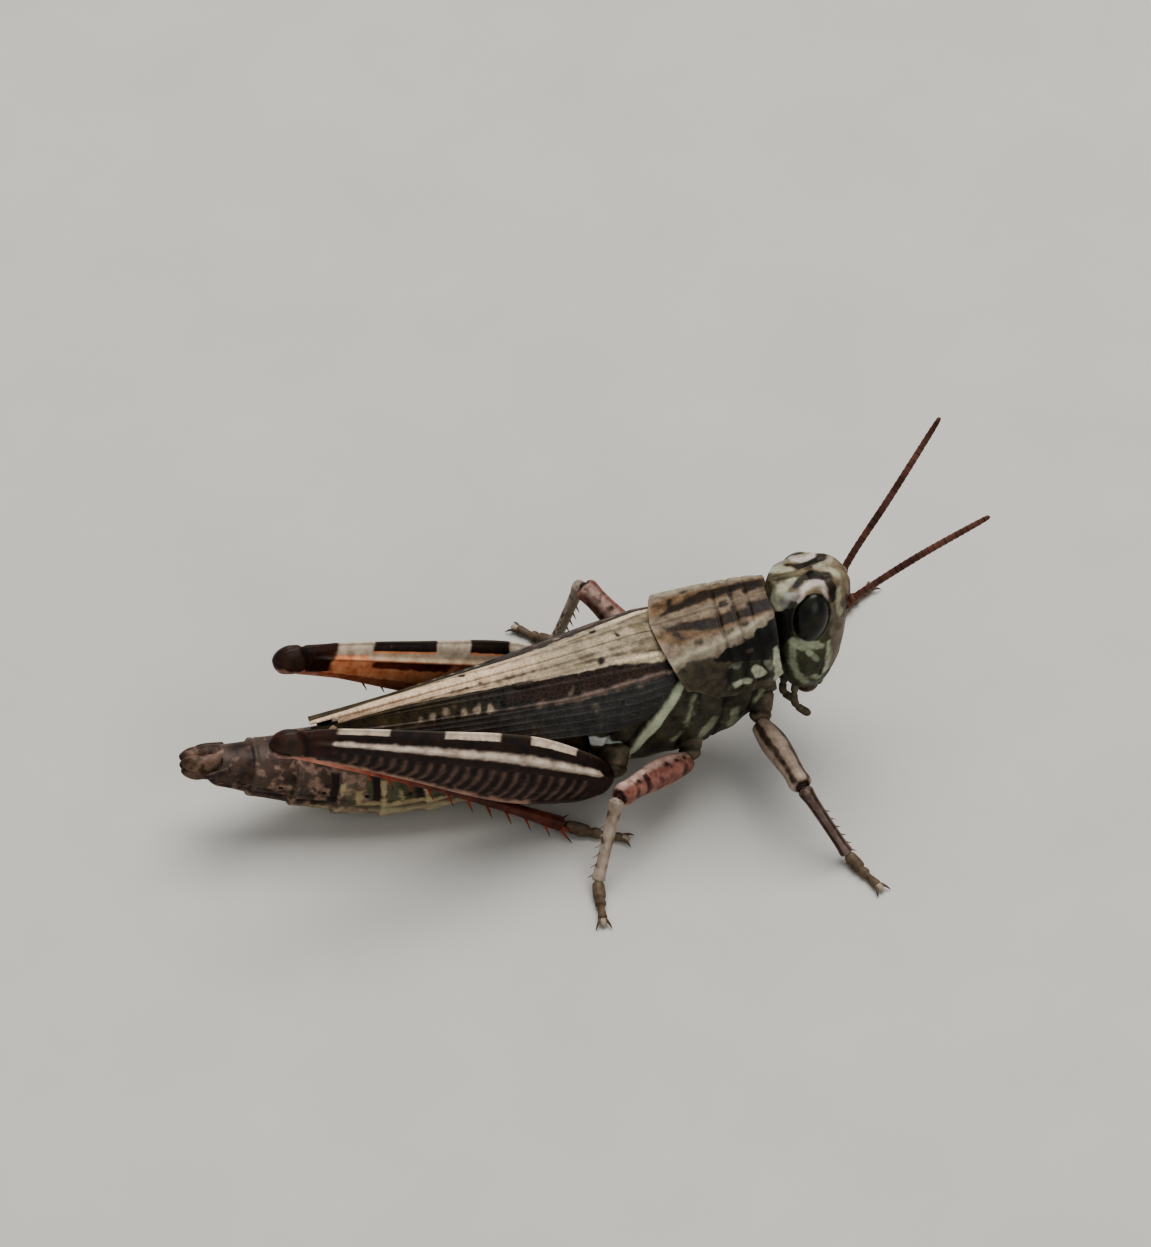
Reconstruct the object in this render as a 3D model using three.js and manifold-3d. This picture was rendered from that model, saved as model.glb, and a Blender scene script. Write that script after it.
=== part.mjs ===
// A female spur-throated grasshopper at rest, life size, as a still museum model.
// Millimetres. X runs to the head, Y to the animal's left, Z up, and the feet stand on Z = 0.
import * as THREE from "three";
import { mergeVertices } from "three/addons/utils/BufferGeometryUtils.js";
import Module from "manifold-3d";

const wasm = await Module();
wasm.setup();

// Driving dimensions
const GAP = 0.06; // clear space left between neighbouring plates
const THIN = 0.27; // half the least thickness of feelers, feet and palps
const WING_THICKNESS = 0.5;
const NECK_X = 5.3; // where the head meets the front edge of the saddle
const SADDLE_REAR_X = 1.35;
const WAIST_X = -2.6; // where the thorax meets the abdomen
const WING_ROOT_X = 1.3;
const WING_ROOT_SLOPE = 1.7; // how far the lower corner of the wing's root is set back
const WING_TIP_X = -13.6;
const TAIL_X = -17.9;
const HEAD_TOP = 9.6;
const MOUTH_HEIGHT = 4.0;
const LEAST_DOME = 0.03; // keeps a rounded end from closing to a needle point

const at = (x, y, z) => new THREE.Vector3(x, y, z);
const LEFTWARD = at(0, 1, 0);
const FORWARD = at(1, 0, 0);
const SIDES = [
  ["left", 1],
  ["right", -1],
];

const COLOUR = {
  straw: 0xcbb8a4,
  olive: 0x5d5a42,
  bark: 0x352a20,
  face: 0x747667,
  rust: 0x8a3a20,
  tan: 0x8d7f6c,
  eye: 0x22241c,
  feeler: 0x5a3024,
};

// Finished meshes, in the order they are made, in a frame with its origin under the shoulders
const grasshopper = new THREE.Group();

function add(name, solid, colour, roughness = 0.55) {
  const material = new THREE.MeshStandardMaterial({ color: colour, roughness, metalness: 0 });
  const mesh = new THREE.Mesh(geometryOf(solid), material);
  mesh.name = name;
  grasshopper.add(mesh);
}

// A smooth function through a few [where, value] points
function through(points) {
  const slopes = points.map((_, i) => {
    const [x0, y0] = points[Math.max(i - 1, 0)];
    const [x1, y1] = points[Math.min(i + 1, points.length - 1)];
    return (y1 - y0) / (x1 - x0);
  });
  return (x) => {
    if (x <= points[0][0]) return points[0][1];
    const i = points.findIndex(([end]) => end >= x);
    if (i < 0) return points.at(-1)[1];
    const [x0, y0] = points[i - 1];
    const [x1, y1] = points[i];
    const span = x1 - x0;
    const t = (x - x0) / span;
    const rise = t * t * (3 - 2 * t);
    const bend = t * (1 - t) * span;
    return y0 + (y1 - y0) * rise + bend * ((1 - t) * slopes[i - 1] - t * slopes[i]);
  };
}

// How full a shape is near its rounded ends: 1 in the middle, falling as a quarter circle
function dome(t, start, end) {
  const reach = Math.max(0, 1 - t / start, 1 - (1 - t) / end);
  return Math.sqrt(Math.max(LEAST_DOME, 1 - reach * reach));
}

const smoothPath = (points) => new THREE.CatmullRomCurve3(points, false, "centripetal");

// A closed tube along a path. Its section reaches half() to each side, over() above and under()
// below. A squareness under 1 makes the section above or below boxy instead of round, and
// slant() slides a point along the path.
function loft({ path, across = LEFTWARD, half, over, under = over, square = [1, 1], slant, sides, rows }) {
  const tube = new THREE.CylinderGeometry(1, 1, 1, sides, rows);
  const position = tube.attributes.position;
  for (let i = 0; i < position.count; i++) {
    const step = 0.5 - position.getY(i);
    const t = (1 - Math.cos(Math.PI * step)) / 2;
    const squareness = square[position.getX(i) < 0 ? 1 : 0];
    const squared = (value) => Math.sign(value) * Math.abs(value) ** squareness;
    const side = squared(position.getZ(i));
    const rise = squared(position.getX(i));
    const tangent = path.getTangentAt(t);
    const upward = tangent.clone().cross(across).normalize();
    const outward = upward.clone().cross(tangent).normalize();
    const point = path.getPointAt(t);
    point.addScaledVector(outward, side * half(t));
    point.addScaledVector(upward, rise * (rise > 0 ? over(t) : under(t)));
    if (slant) point.addScaledVector(tangent, slant(t, side, rise));
    position.setXYZ(i, point.x, point.y, point.z);
  }
  return solidOf(tube);
}

// A shell of even thickness built on surface(along, across), with its thickness laid outwards
function shell(surface, thickness, rows, strips) {
  const sheet = new THREE.BoxGeometry(1, 1, 1, rows, strips, 1);
  const position = sheet.attributes.position;
  const step = 0.01;
  for (let i = 0; i < position.count; i++) {
    const along = position.getX(i) + 0.5;
    const across = position.getY(i) + 0.5;
    const point = surface(along, across);
    const a = Math.min(along, 1 - step);
    const c = Math.min(across, 1 - step);
    const lengthwise = surface(a + step, c).sub(surface(a, c));
    const crosswise = surface(a, c + step).sub(surface(a, c));
    const outward = crosswise.cross(lengthwise).normalize();
    if (position.getZ(i) < 0) point.addScaledVector(outward, thickness);
    position.setXYZ(i, point.x, point.y, point.z);
  }
  return solidOf(sheet);
}

// Booleans: a three.js geometry as a manifold solid, and back
function solidOf(geometry) {
  const bare = geometry.clone();
  bare.deleteAttribute("normal");
  bare.deleteAttribute("uv");
  const merged = mergeVertices(bare, 1e-4);
  const vertProperties = new Float32Array(merged.attributes.position.array);
  const triVerts = new Uint32Array(merged.index.array);
  const solid = new wasm.Manifold(new wasm.Mesh({ numProp: 3, vertProperties, triVerts }));
  if (solid.volume() > 0) return solid;
  triVerts.reverse();
  return new wasm.Manifold(new wasm.Mesh({ numProp: 3, vertProperties, triVerts }));
}

function geometryOf(solid) {
  const mesh = solid.getMesh();
  const geometry = new THREE.BufferGeometry();
  const positions = new THREE.BufferAttribute(new Float32Array(mesh.vertProperties), 3);
  geometry.setAttribute("position", positions);
  geometry.setIndex(new THREE.BufferAttribute(new Uint32Array(mesh.triVerts), 1));
  geometry.computeVertexNormals();
  return geometry;
}

// The same solid grown by the gap on every face, for cutting its neighbours back
function grown(solid) {
  const geometry = geometryOf(solid);
  const { position, normal } = geometry.attributes;
  for (let i = 0; i < position.count; i++) {
    const point = new THREE.Vector3().fromBufferAttribute(position, i);
    point.addScaledVector(new THREE.Vector3().fromBufferAttribute(normal, i), GAP);
    position.setXYZ(i, point.x, point.y, point.z);
  }
  return solidOf(geometry);
}

const clearOf = (solid, ...others) => others.reduce((cut, other) => cut.subtract(grown(other)), solid);

// Everything below the floor is planed off, which leaves a small flat where a part stands
function planed(solid) {
  const [spread, depth] = [60, 2];
  const block = new THREE.BoxGeometry(spread, spread, depth).translate(0, 0, -depth / 2);
  return solid.subtract(solidOf(block));
}

const mirrored = (solid) => {
  const geometry = geometryOf(solid).scale(1, -1, 1);
  geometry.index.array.reverse();
  return solidOf(geometry);
};

// Eyes: upright ovals that lean forward at the top and bulge from the sides of the head
function makeEye() {
  const [length, thickness, height] = [0.8, 0.58, 1.22];
  const ball = new THREE.SphereGeometry(1, 14, 9).scale(length, thickness, height);
  ball.rotateX(0.28);
  ball.rotateY(0.26);
  ball.rotateZ(-0.12);
  ball.translate(6.8, 1.3, 8.15);
  return solidOf(ball);
}
const leftEye = makeEye();
const rightEye = mirrored(leftEye);
add("eye_left", leftEye, COLOUR.eye, 0.25);
add("eye_right", rightEye, COLOUR.eye, 0.25);

// Head capsule: a vertical casque, its face sloping down and back to the mouth
function makeHead() {
  const brow = 6.75;
  const path = smoothPath([at(brow, 0, HEAD_TOP), at(brow, 0, 6.6), at(6.45, 0, MOUTH_HEIGHT)]);
  const width = through([[0, 1.05], [0.12, 1.2], [0.33, 1.5], [0.62, 1.82], [0.86, 1.6], [1, 1.25]]);
  const face = through([[0, 1.25], [0.12, 1.68], [0.4, 1.62], [0.74, 1.38], [1, 1.15]]);
  const nape = through([[0, 1.5], [0.3, 1.75], [0.6, 1.5], [1, 0.7]]);
  const crownSlope = 0.18;
  return loft({
    path,
    half: (t) => width(t) * dome(t, 0.06, 0.03),
    over: (t) => face(t) * dome(t, 0.04, 0.03),
    under: nape,
    square: [0.82, 0.82],
    slant: (t, side, rise) => -crownSlope * rise * (1 - t) ** 2,
    sides: 16,
    rows: 12,
  });
}
const head = clearOf(makeHead(), leftEye, rightEye);
add("head", head, COLOUR.face);

// Saddle (pronotum): a roof over the front of the thorax with a hanging lobe on each side
function makeSaddle() {
  const path = smoothPath([at(SADDLE_REAR_X, 0, 6.3), at(3, 0, 6.5), at(NECK_X, 0, 6.75)]);
  const width = through([[0, 2.28], [0.25, 2.2], [0.6, 2.0], [1, 1.86]]);
  const roof = through([[0, 1.62], [0.3, 1.76], [0.7, 1.92], [1, 2.0]]);
  const lobe = through([[0, 1.5], [0.3, 2.1], [0.7, 2.3], [1, 2.0]]);
  const hindMargin = 0.8;
  return loft({
    path,
    half: width,
    over: roof,
    under: lobe,
    square: [0.72, 0.6],
    slant: (t, side, rise) => -hindMargin * rise * (1 - 0.35 * Math.abs(side)) * (1 - t) ** 3,
    sides: 20,
    rows: 8,
  });
}
const saddle = clearOf(makeSaddle(), head);
add("pronotum", saddle, COLOUR.straw);

// Forewings: stiff narrow covers folded over the back. A crisp fold parts the sloping field on
// top of the back from the deep field at the side.
function wingSurface(along, across) {
  const fold = 1 / 3;
  const below = Math.max(0, (across - fold) / (1 - fold));
  const x = THREE.MathUtils.lerp(WING_ROOT_X - WING_ROOT_SLOPE * below * below, WING_TIP_X, along);
  const ridge = through([[0, 7.5], [0.1, 7.3], [0.35, 6.6], [0.65, 5.98], [0.9, 5.42], [1, 5.2]]);
  const shoulder = through([[0, 1.1], [0.22, 0.8], [0.41, 0.55], [0.65, 0.3], [0.85, 0.14], [1, 0.07]]);
  const drop = through([[0, 0.2], [0.1, 0.3], [0.5, 0.25], [1, 0.06]]);
  const hem = through([[0, 5.3], [0.1, 4.9], [0.35, 4.5], [0.65, 4.2], [0.9, 4.35], [1, 4.8]]);
  const spread = through([[0, 2.2], [0.15, 2.35], [0.4, 1.95], [0.7, 1.3], [0.9, 0.7], [1, 0.25]]);
  const middle = 0.05;
  if (across <= fold) {
    const out = across / fold;
    const y = THREE.MathUtils.lerp(middle, shoulder(along), out);
    return at(x, y, ridge(along) - drop(along) * out * out);
  }
  const bulge = 0.35 * Math.sin(Math.PI * below) * (1 - along);
  const y = THREE.MathUtils.lerp(shoulder(along), spread(along), below) + bulge;
  return at(x, y, THREE.MathUtils.lerp(ridge(along) - drop(along), hem(along), below));
}
const leftWing = clearOf(shell(wingSurface, WING_THICKNESS, 12, 6), saddle);
const rightWing = mirrored(leftWing);
add("forewing_left", leftWing, COLOUR.bark);
add("forewing_right", rightWing, COLOUR.bark);

// Thorax: the deep box that carries the wings and legs, flat beneath
function makeThorax() {
  const path = smoothPath([at(WAIST_X, 0, 4.1), at(1, 0, 4.6), at(NECK_X - 0.1, 0, 5.2)]);
  const width = through([[0, 2.1], [0.4, 2.25], [0.75, 1.95], [1, 1.35]]);
  const above = through([[0, 1.7], [0.5, 2.3], [1, 2.6]]);
  const below = through([[0, 3.0], [0.35, 3.1], [0.7, 2.8], [1, 1.5]]);
  return loft({ path, half: width, over: above, under: below, square: [0.7, 0.7], sides: 16, rows: 8 });
}
const thorax = clearOf(makeThorax(), saddle, leftWing, rightWing, head);
add("thorax", thorax, COLOUR.olive);

// Abdomen: nine rings that overlap like roof tiles, tapering to the egg-laying valves
const REARWARD_ACROSS = LEFTWARD.clone().negate();
const ABDOMEN_RINGS = 9;
function makeAbdomen() {
  const path = smoothPath([
    at(WAIST_X - GAP, 0, 3.75),
    at(-7, 0, 2.75),
    at(-11, 0, 2.4),
    at(-14.2, 0, 2.85),
    at(TAIL_X, 0, 3.75),
  ]);
  const width = through([[0, 2.1], [0.3, 2.2], [0.55, 1.95], [0.8, 1.25], [1, 0.7]]);
  const above = through([[0, 2.0], [0.3, 2.25], [0.55, 1.9], [0.8, 1.2], [1, 0.6]]);
  const below = through([[0, 2.2], [0.3, 2.35], [0.55, 2.2], [0.8, 1.4], [1, 0.55]]);
  const lip = (t) => 1 + 0.035 * ((t * ABDOMEN_RINGS) % 1);
  return loft({
    path,
    across: REARWARD_ACROSS,
    half: (t) => width(t) * lip(t),
    over: (t) => above(t) * lip(t),
    under: (t) => below(t) * lip(t),
    square: [0.95, 0.85],
    sides: 16,
    rows: 18,
  });
}
const abdomen = planed(clearOf(makeAbdomen(), leftWing, rightWing, thorax));
add("abdomen", abdomen, COLOUR.bark);

// Egg-laying valves: two short horny hooks, one turned up and one turned down
const VALVE_LENGTH = 1.15;
for (const [name, turn] of [["upper", 1], ["lower", -1]]) {
  const path = smoothPath([
    at(TAIL_X - GAP, 0, 3.85 + 0.31 * turn),
    at(TAIL_X - VALVE_LENGTH / 2, 0, 3.95 + 0.33 * turn),
    at(TAIL_X - VALVE_LENGTH, 0, 4.05 + 0.28 * turn),
  ]);
  const half = through([[0, 0.5], [0.5, 0.47], [1, 0.26]]);
  const depth = through([[0, 0.28], [0.5, 0.29], [1, 0.2]]);
  const valve = loft({ path, across: REARWARD_ACROSS, half, over: depth, sides: 8, rows: 4 });
  add("ovipositor_" + name, clearOf(valve, abdomen), COLOUR.bark);
}

// Cerci: a short blunt spike at each side of the last ring
for (const [name, side] of SIDES) {
  const base = at(TAIL_X + 0.75, 0.6 * side, 3.95);
  const tip = at(TAIL_X - 0.3, 0.87 * side, 4.0);
  const girth = through([[0, 0.3], [0.6, THIN], [1, 0.2]]);
  const spike = loft({ path: smoothPath([base, tip]), half: girth, over: girth, sides: 6, rows: 2 });
  add("cercus_" + name, clearOf(spike, abdomen), COLOUR.bark);
}

// A leg length between two joints. width() is measured towards flat and depth() across it;
// bow lifts the middle.
function limb({ from, to, width, depth, flat, bow = 0, rows = 5 }) {
  const middle = from.clone().lerp(to, 0.5);
  const along = to.clone().sub(from).normalize();
  const across = flat.clone().addScaledVector(along, -flat.dot(along)).normalize();
  middle.addScaledVector(along.clone().cross(across), bow);
  const path = smoothPath([from, middle, to]);
  return loft({ path, across, half: width, over: depth, square: [0.9, 0.9], sides: 8, rows });
}

// The stub that carries a leg, sunk into the side of the thorax
function makeCoxa(hip, size) {
  const root = hip.clone().add(at(0.3, -1.1 * Math.sign(hip.y), 0.9));
  const girth = (t) => size * (1 - 0.2 * t) * dome(t, 0.2, 0.3);
  return limb({ from: root, to: hip, width: girth, depth: girth, flat: FORWARD, rows: 4 });
}

// The foot: a slim sole with a wider pad at the end, planed flat where it stands
function makeFoot(ankle, toe) {
  const width = through([[0, 0.28], [0.5, 0.31], [0.85, THIN], [1, 0.4]]);
  return limb({
    from: ankle,
    to: toe,
    width: (t) => width(t) * dome(t, 0.1, 0.1),
    depth: (t) => THIN * dome(t, 0.1, 0.1),
    flat: LEFTWARD,
  });
}

// The walking legs. Each is set by its joints: hip, knee, ankle and the tip of the foot.

const TRUNK = [saddle, thorax, head, abdomen, leftWing, rightWing];
const WALKING_LEGS = {
  foreleg_left: [at(4.5, 2.0, 3.1), at(7.5, 4.6, 3.5), at(9.5, 5.7, 0.45), at(11.3, 6.9, 0.2)],
  foreleg_right: [at(4.5, -2.0, 3.1), at(5.4, -5.9, 3.3), at(6.95, -7.3, 0.45), at(7.9, -9.15, 0.2)],
  midleg_left: [at(1.5, 2.4, 2.4), at(-1.3, 5.4, 4.9), at(-2.2, 6.4, 0.45), at(-3.6, 7.8, 0.2)],
  midleg_right: [at(1.5, -2.4, 2.0), at(-2.0, -4.8, 3.25), at(-3.2, -6.6, 0.45), at(-3.4, -8.6, 0.2)],
};
for (const [name, [hip, knee, ankle, toe]] of Object.entries(WALKING_LEGS)) {
  const thighWidth = through([[0, 0.4], [0.35, 0.55], [0.8, 0.44], [1, 0.44]]);
  const thighDepth = through([[0, 0.42], [0.35, 0.62], [0.8, 0.48], [1, 0.48]]);
  const shinWidth = through([[0, 0.34], [0.4, THIN], [1, THIN + 0.02]]);
  const coxa = clearOf(makeCoxa(hip, 0.62), ...TRUNK);
  const thigh = limb({
    from: hip,
    to: knee,
    width: (t) => thighWidth(t) * dome(t, 0.06, 0.08),
    depth: (t) => thighDepth(t) * dome(t, 0.06, 0.08),
    flat: FORWARD,
    bow: 0.12,
    rows: 7,
  });
  const shin = limb({
    from: knee,
    to: ankle,
    width: (t) => shinWidth(t) * dome(t, 0.06, 0.04),
    depth: (t) => shinWidth(t) * dome(t, 0.06, 0.04),
    flat: FORWARD,
  });
  const clearThigh = clearOf(thigh, coxa, ...TRUNK);
  const clearShin = clearOf(shin, clearThigh);
  add(name + "_coxa", coxa, COLOUR.olive);
  add(name + "_femur", clearThigh, COLOUR.tan);
  add(name + "_tibia", clearShin, COLOUR.tan);
  add(name + "_tarsus", planed(clearOf(makeFoot(ankle, toe), clearShin)), COLOUR.tan);
}

// The jumping legs: a great flat club of a thigh, with the thin shin folded into its lower groove.
// The last number lifts the middle of the thigh.
const JUMPING_LEGS = {
  hindleg_left: [at(-1.4, 2.95, 1.8), at(-14.6, 2.35, 6.75), at(-3.9, 3.3, 0.5), at(-1.5, 4.3, 0.2), -0.4],
  hindleg_right: [at(-1.8, -2.95, 2.35), at(-15.8, -3, 7.9), at(-3.9, -3.4, 0.5), at(-1.5, -4.4, 0.2), 0.1],
};
function makeJumpingThigh(hip, knee, lift) {
  const middle = hip.clone().lerp(knee, 0.5).add(at(0, 0.22 * Math.sign(hip.y), lift));
  const half = through([[0, 0.5], [0.25, 0.72], [0.6, 0.5], [0.86, 0.4], [1, 0.52]]);
  const back = [[0, 0.5], [0.1, 1.2], [0.3, 1.9], [0.6, 1.6], [0.84, 1.15]];
  const belly = [[0, 0.62], [0.1, 1.4], [0.3, 1.74], [0.6, 0.95], [0.86, 0.35]];
  const above = through([...back, [0.95, 0.8], [1, 0.6]]);
  const below = through([...belly, [0.95, 0.55], [1, 0.5]]);
  return loft({
    path: smoothPath([hip, middle, knee]),
    across: REARWARD_ACROSS,
    half: (t) => half(t) * dome(t, 0.03, 0.04),
    over: (t) => above(t) * dome(t, 0.03, 0.04),
    under: (t) => below(t) * dome(t, 0.03, 0.04),
    square: [0.8, 0.8],
    sides: 12,
    rows: 14,
  });
}
for (const [name, [hip, knee, ankle, toe, lift]] of Object.entries(JUMPING_LEGS)) {
  const hinge = knee.clone().add(at(0.75, 0, -0.55));
  const shinSize = through([[0, 0.34], [0.1, 0.3], [0.9, THIN], [1, 0.33]]);
  const girth = (t) => shinSize(t) * dome(t, 0.03, 0.02);
  const coxa = clearOf(makeCoxa(hip, 0.74), ...TRUNK);
  const shin = limb({
    from: hinge,
    to: ankle,
    width: girth,
    depth: girth,
    flat: LEFTWARD,
    bow: 0.22,
    rows: 8,
  });
  const thigh = clearOf(makeJumpingThigh(hip, knee, lift), coxa, shin, ...TRUNK);
  add(name + "_coxa", coxa, COLOUR.olive);
  add(name + "_femur", thigh, COLOUR.bark);
  add(name + "_tibia", shin, COLOUR.rust);
  add(name + "_tarsus", planed(clearOf(makeFoot(ankle, toe), shin)), COLOUR.tan);
}

// Feelers: many-jointed threads that sweep forward and up from between the eyes
const FEELERS = {
  left: [at(8.15, 0.6, 7.85), at(9.0, 1.0, 9.2), at(10.5, 1.7, 11.1), at(12.9, 3.0, 14.1)],
  right: [at(8.15, -0.6, 7.85), at(9.3, -0.8, 9.0), at(11.2, -1.1, 10.7), at(13.9, -1.5, 12.8)],
};
for (const [name, route] of Object.entries(FEELERS)) {
  const radius = through([[0, 0.3], [0.06, 0.26], [0.6, 0.27], [1, 0.25]]);
  const feeler = loft({ path: smoothPath(route), half: radius, over: radius, sides: 6, rows: 10 });
  add("antenna_" + name, clearOf(feeler, head), COLOUR.feeler);
}

// Mouthparts: an upper lip in front, a jaw at each side and two pairs of jointed palps
const lip = clearOf(
  loft({
    path: smoothPath([at(7.35, 0, 4.15), at(7.3, 0, 3.7), at(7.1, 0, 3.25)]),
    half: (t) => 0.85 * dome(t, 0.1, 0.5),
    over: () => THIN,
    sides: 10,
    rows: 3,
  }),
  head,
);
add("labrum", lip, COLOUR.face);
const palpGirth = (t) => THIN * dome(t, 0.1, 0.12);
for (const [name, side] of SIDES) {
  const jaw = clearOf(
    loft({
      path: smoothPath([at(6.7, 0.85 * side, 4.2), at(6.75, 0.75 * side, 3.7), at(6.8, 0.42 * side, 3.25)]),
      half: (t) => 0.36 * dome(t, 0.1, 0.4),
      over: (t) => 0.45 * dome(t, 0.1, 0.4),
      sides: 8,
      rows: 3,
    }),
    head,
    lip,
  );
  add("mandible_" + name, jaw, COLOUR.face);
  const palps = {
    maxillary: [at(6.2, 1.0 * side, 4.1), at(6.1, 1.35 * side, 3.3), at(6.7, 1.5 * side, 2.6)],
    labial: [at(5.9, 0.45 * side, 4.0), at(5.8, 0.55 * side, 3.2), at(6.3, 0.6 * side, 2.6)],
  };
  for (const [kind, route] of Object.entries(palps)) {
    const palp = loft({ path: smoothPath(route), half: palpGirth, over: palpGirth, sides: 6, rows: 4 });
    add(kind + "_palp_" + name, clearOf(palp, head, jaw, thorax, saddle), COLOUR.tan);
  }
}

// The model's own origin is on the floor, under the middle of its bounding box
const model = new THREE.Group();
model.add(grasshopper);
const box = new THREE.Box3().setFromObject(grasshopper, true);
const middle = box.getCenter(new THREE.Vector3());
grasshopper.position.set(-middle.x, -middle.y, -box.min.z);

export default model;
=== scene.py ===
import math

import bpy
import numpy as np
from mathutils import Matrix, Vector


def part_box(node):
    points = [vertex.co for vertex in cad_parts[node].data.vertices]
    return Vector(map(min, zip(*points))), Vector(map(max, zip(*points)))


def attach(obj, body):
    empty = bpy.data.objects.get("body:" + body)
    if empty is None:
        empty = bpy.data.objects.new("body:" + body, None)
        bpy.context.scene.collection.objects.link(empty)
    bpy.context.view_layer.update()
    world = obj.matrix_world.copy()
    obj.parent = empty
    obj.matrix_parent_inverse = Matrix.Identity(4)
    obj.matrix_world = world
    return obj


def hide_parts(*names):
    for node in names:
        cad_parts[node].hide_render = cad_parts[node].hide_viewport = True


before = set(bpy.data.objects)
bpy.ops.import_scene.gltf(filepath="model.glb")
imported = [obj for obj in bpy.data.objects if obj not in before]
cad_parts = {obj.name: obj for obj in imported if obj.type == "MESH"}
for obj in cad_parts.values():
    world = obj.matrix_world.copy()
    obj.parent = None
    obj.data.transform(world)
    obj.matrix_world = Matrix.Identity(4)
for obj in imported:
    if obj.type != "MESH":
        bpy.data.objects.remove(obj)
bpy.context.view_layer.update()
MM = 0.001

# Floor: a sheet of pale matt card under the animal, large enough to fill the view from any side.
# It has the faint cloudiness of uncoated paper.
FLOOR_SIDE = 1.6  # metres
CARD_CLOUD = 6.0  # mm, the size of the clouds in the pulp


def linear(colour):
    """An sRGB hex colour as linear red, green, blue and alpha."""
    parts = [int(colour[i : i + 2], 16) / 255 for i in (1, 3, 5)]
    return [c / 12.92 if c <= 0.04045 else ((c + 0.055) / 1.055) ** 2.4 for c in parts] + [1.0]


def add_node(tree, kind, links, out=0, **settings):
    """Adds a node with its settings and gives back one of its outputs. Each socket in links is
    given a value or linked to another node's output."""
    node = tree.nodes.new("ShaderNode" + kind)
    for name, value in settings.items():
        setattr(node, name, value)
    for socket, value in links.items():
        if isinstance(value, bpy.types.NodeSocket):
            tree.links.new(value, node.inputs[socket])
        else:
            node.inputs[socket].default_value = value
    return node.outputs[out] if len(node.outputs) else None


COLOURS = {"out": 2, "data_type": "RGBA"}  # for a Mix node of two colours, on its sockets 6 and 7


def new_finish(name):
    """A node material, its empty tree and the place of each point on the piece, in metres."""
    finish = bpy.data.materials.new(name)
    finish.use_nodes = True
    finish.node_tree.nodes.clear()
    return finish, finish.node_tree, add_node(finish.node_tree, "TexCoord", {}, "Object")


bpy.ops.object.select_all(action="DESELECT")
bpy.ops.mesh.primitive_plane_add(size=FLOOR_SIDE, location=(0, 0, 0))
floor = bpy.context.object
floor.name = "floor"

# Uncoated card: pressed wood pulp, matt and faintly cloudy
card, tree, place = new_finish("uncoated_card")
cloud = {"Vector": place, "Scale": 1 / (CARD_CLOUD * MM), "Detail": 4.0}
cloud = add_node(tree, "TexNoise", cloud)
tone = add_node(tree, "Mix", {0: cloud, 6: linear("#bdb9b1"), 7: linear("#c9c5bd")}, **COLOURS)
matt = {"Base Color": tone, "Roughness": 0.9, "Specular IOR Level": 0.2}
add_node(tree, "OutputMaterial", {0: add_node(tree, "BsdfPrincipled", matt)})
floor.data.materials.append(card)

# Light: an even pale sky, a broad soft box overhead and a little behind, as under thin cloud,
# and a weak one in front, so that shadows are soft and lie under the body.
SOFT_BOXES = [  # name, place and side in metres, watts
    ("overhead", (0.06, 0.16, 0.5), 0.42, 2.6),
    ("front", (0.15, -0.45, 0.3), 0.3, 0.5),
]
for name, where, side, watts in SOFT_BOXES:
    bpy.ops.object.light_add(type="AREA", location=where)
    lamp = bpy.context.object
    lamp.name = name + "_soft_box"
    lamp.data.shape = "SQUARE"
    lamp.data.size = side
    lamp.data.energy = watts
    tilt = math.atan2(math.hypot(where[0], where[1]), where[2])
    lamp.rotation_euler = (tilt, 0, math.atan2(where[0], -where[1]))

SKY_STRENGTH = 0.5
sky = bpy.data.worlds.new("pale_sky")
sky.use_nodes = True
background = sky.node_tree.nodes["Background"].inputs
background["Color"].default_value = linear("#e3e8ef")
background["Strength"].default_value = SKY_STRENGTH
bpy.context.scene.world = sky
bpy.context.scene.view_settings.look = "AgX - Medium High Contrast"

# Camera: a long lens that looks down on the animal's right side from in front of its middle.
# The left eye's centre fixes the point under the shoulders in the frame.
AZIMUTH, ELEVATION = math.radians(12.2), math.radians(48)
CAMERA_DISTANCE = 450.0
NEAREST_SEEN = 0.02  # metres
VIEW_HEIGHT = 50.49  # mm of the scene up the long side of the picture
MIDDLE = np.array([0, 0, 2.6])
MIDDLE_IN_PICTURE = (2.63, -3.64)  # mm right of and above the picture's centre
LEFT_EYE = np.array([6.8, 1.3, 8.15])

eye_low, eye_high = (np.array(corner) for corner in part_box("eye_left"))
under_shoulders = (eye_low + eye_high) / 2 - LEFT_EYE * MM

rightward = np.array([math.cos(AZIMUTH), -math.sin(AZIMUTH), 0])
level_back = np.array([-math.sin(AZIMUTH), -math.cos(AZIMUTH), 0])
backward = level_back * math.cos(ELEVATION) + np.array([0, 0, math.sin(ELEVATION)])
upward = np.cross(backward, rightward)
aim = MIDDLE - rightward * MIDDLE_IN_PICTURE[0] - upward * MIDDLE_IN_PICTURE[1]
bpy.ops.object.camera_add(
    location=under_shoulders + (aim + backward * CAMERA_DISTANCE) * MM,
    rotation=(math.pi / 2 - ELEVATION, 0, -AZIMUTH),
)
camera = bpy.context.object
camera.data.lens = camera.data.sensor_width * CAMERA_DISTANCE / VIEW_HEIGHT
camera.data.clip_start = NEAREST_SEEN
bpy.context.scene.camera = camera

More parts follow.
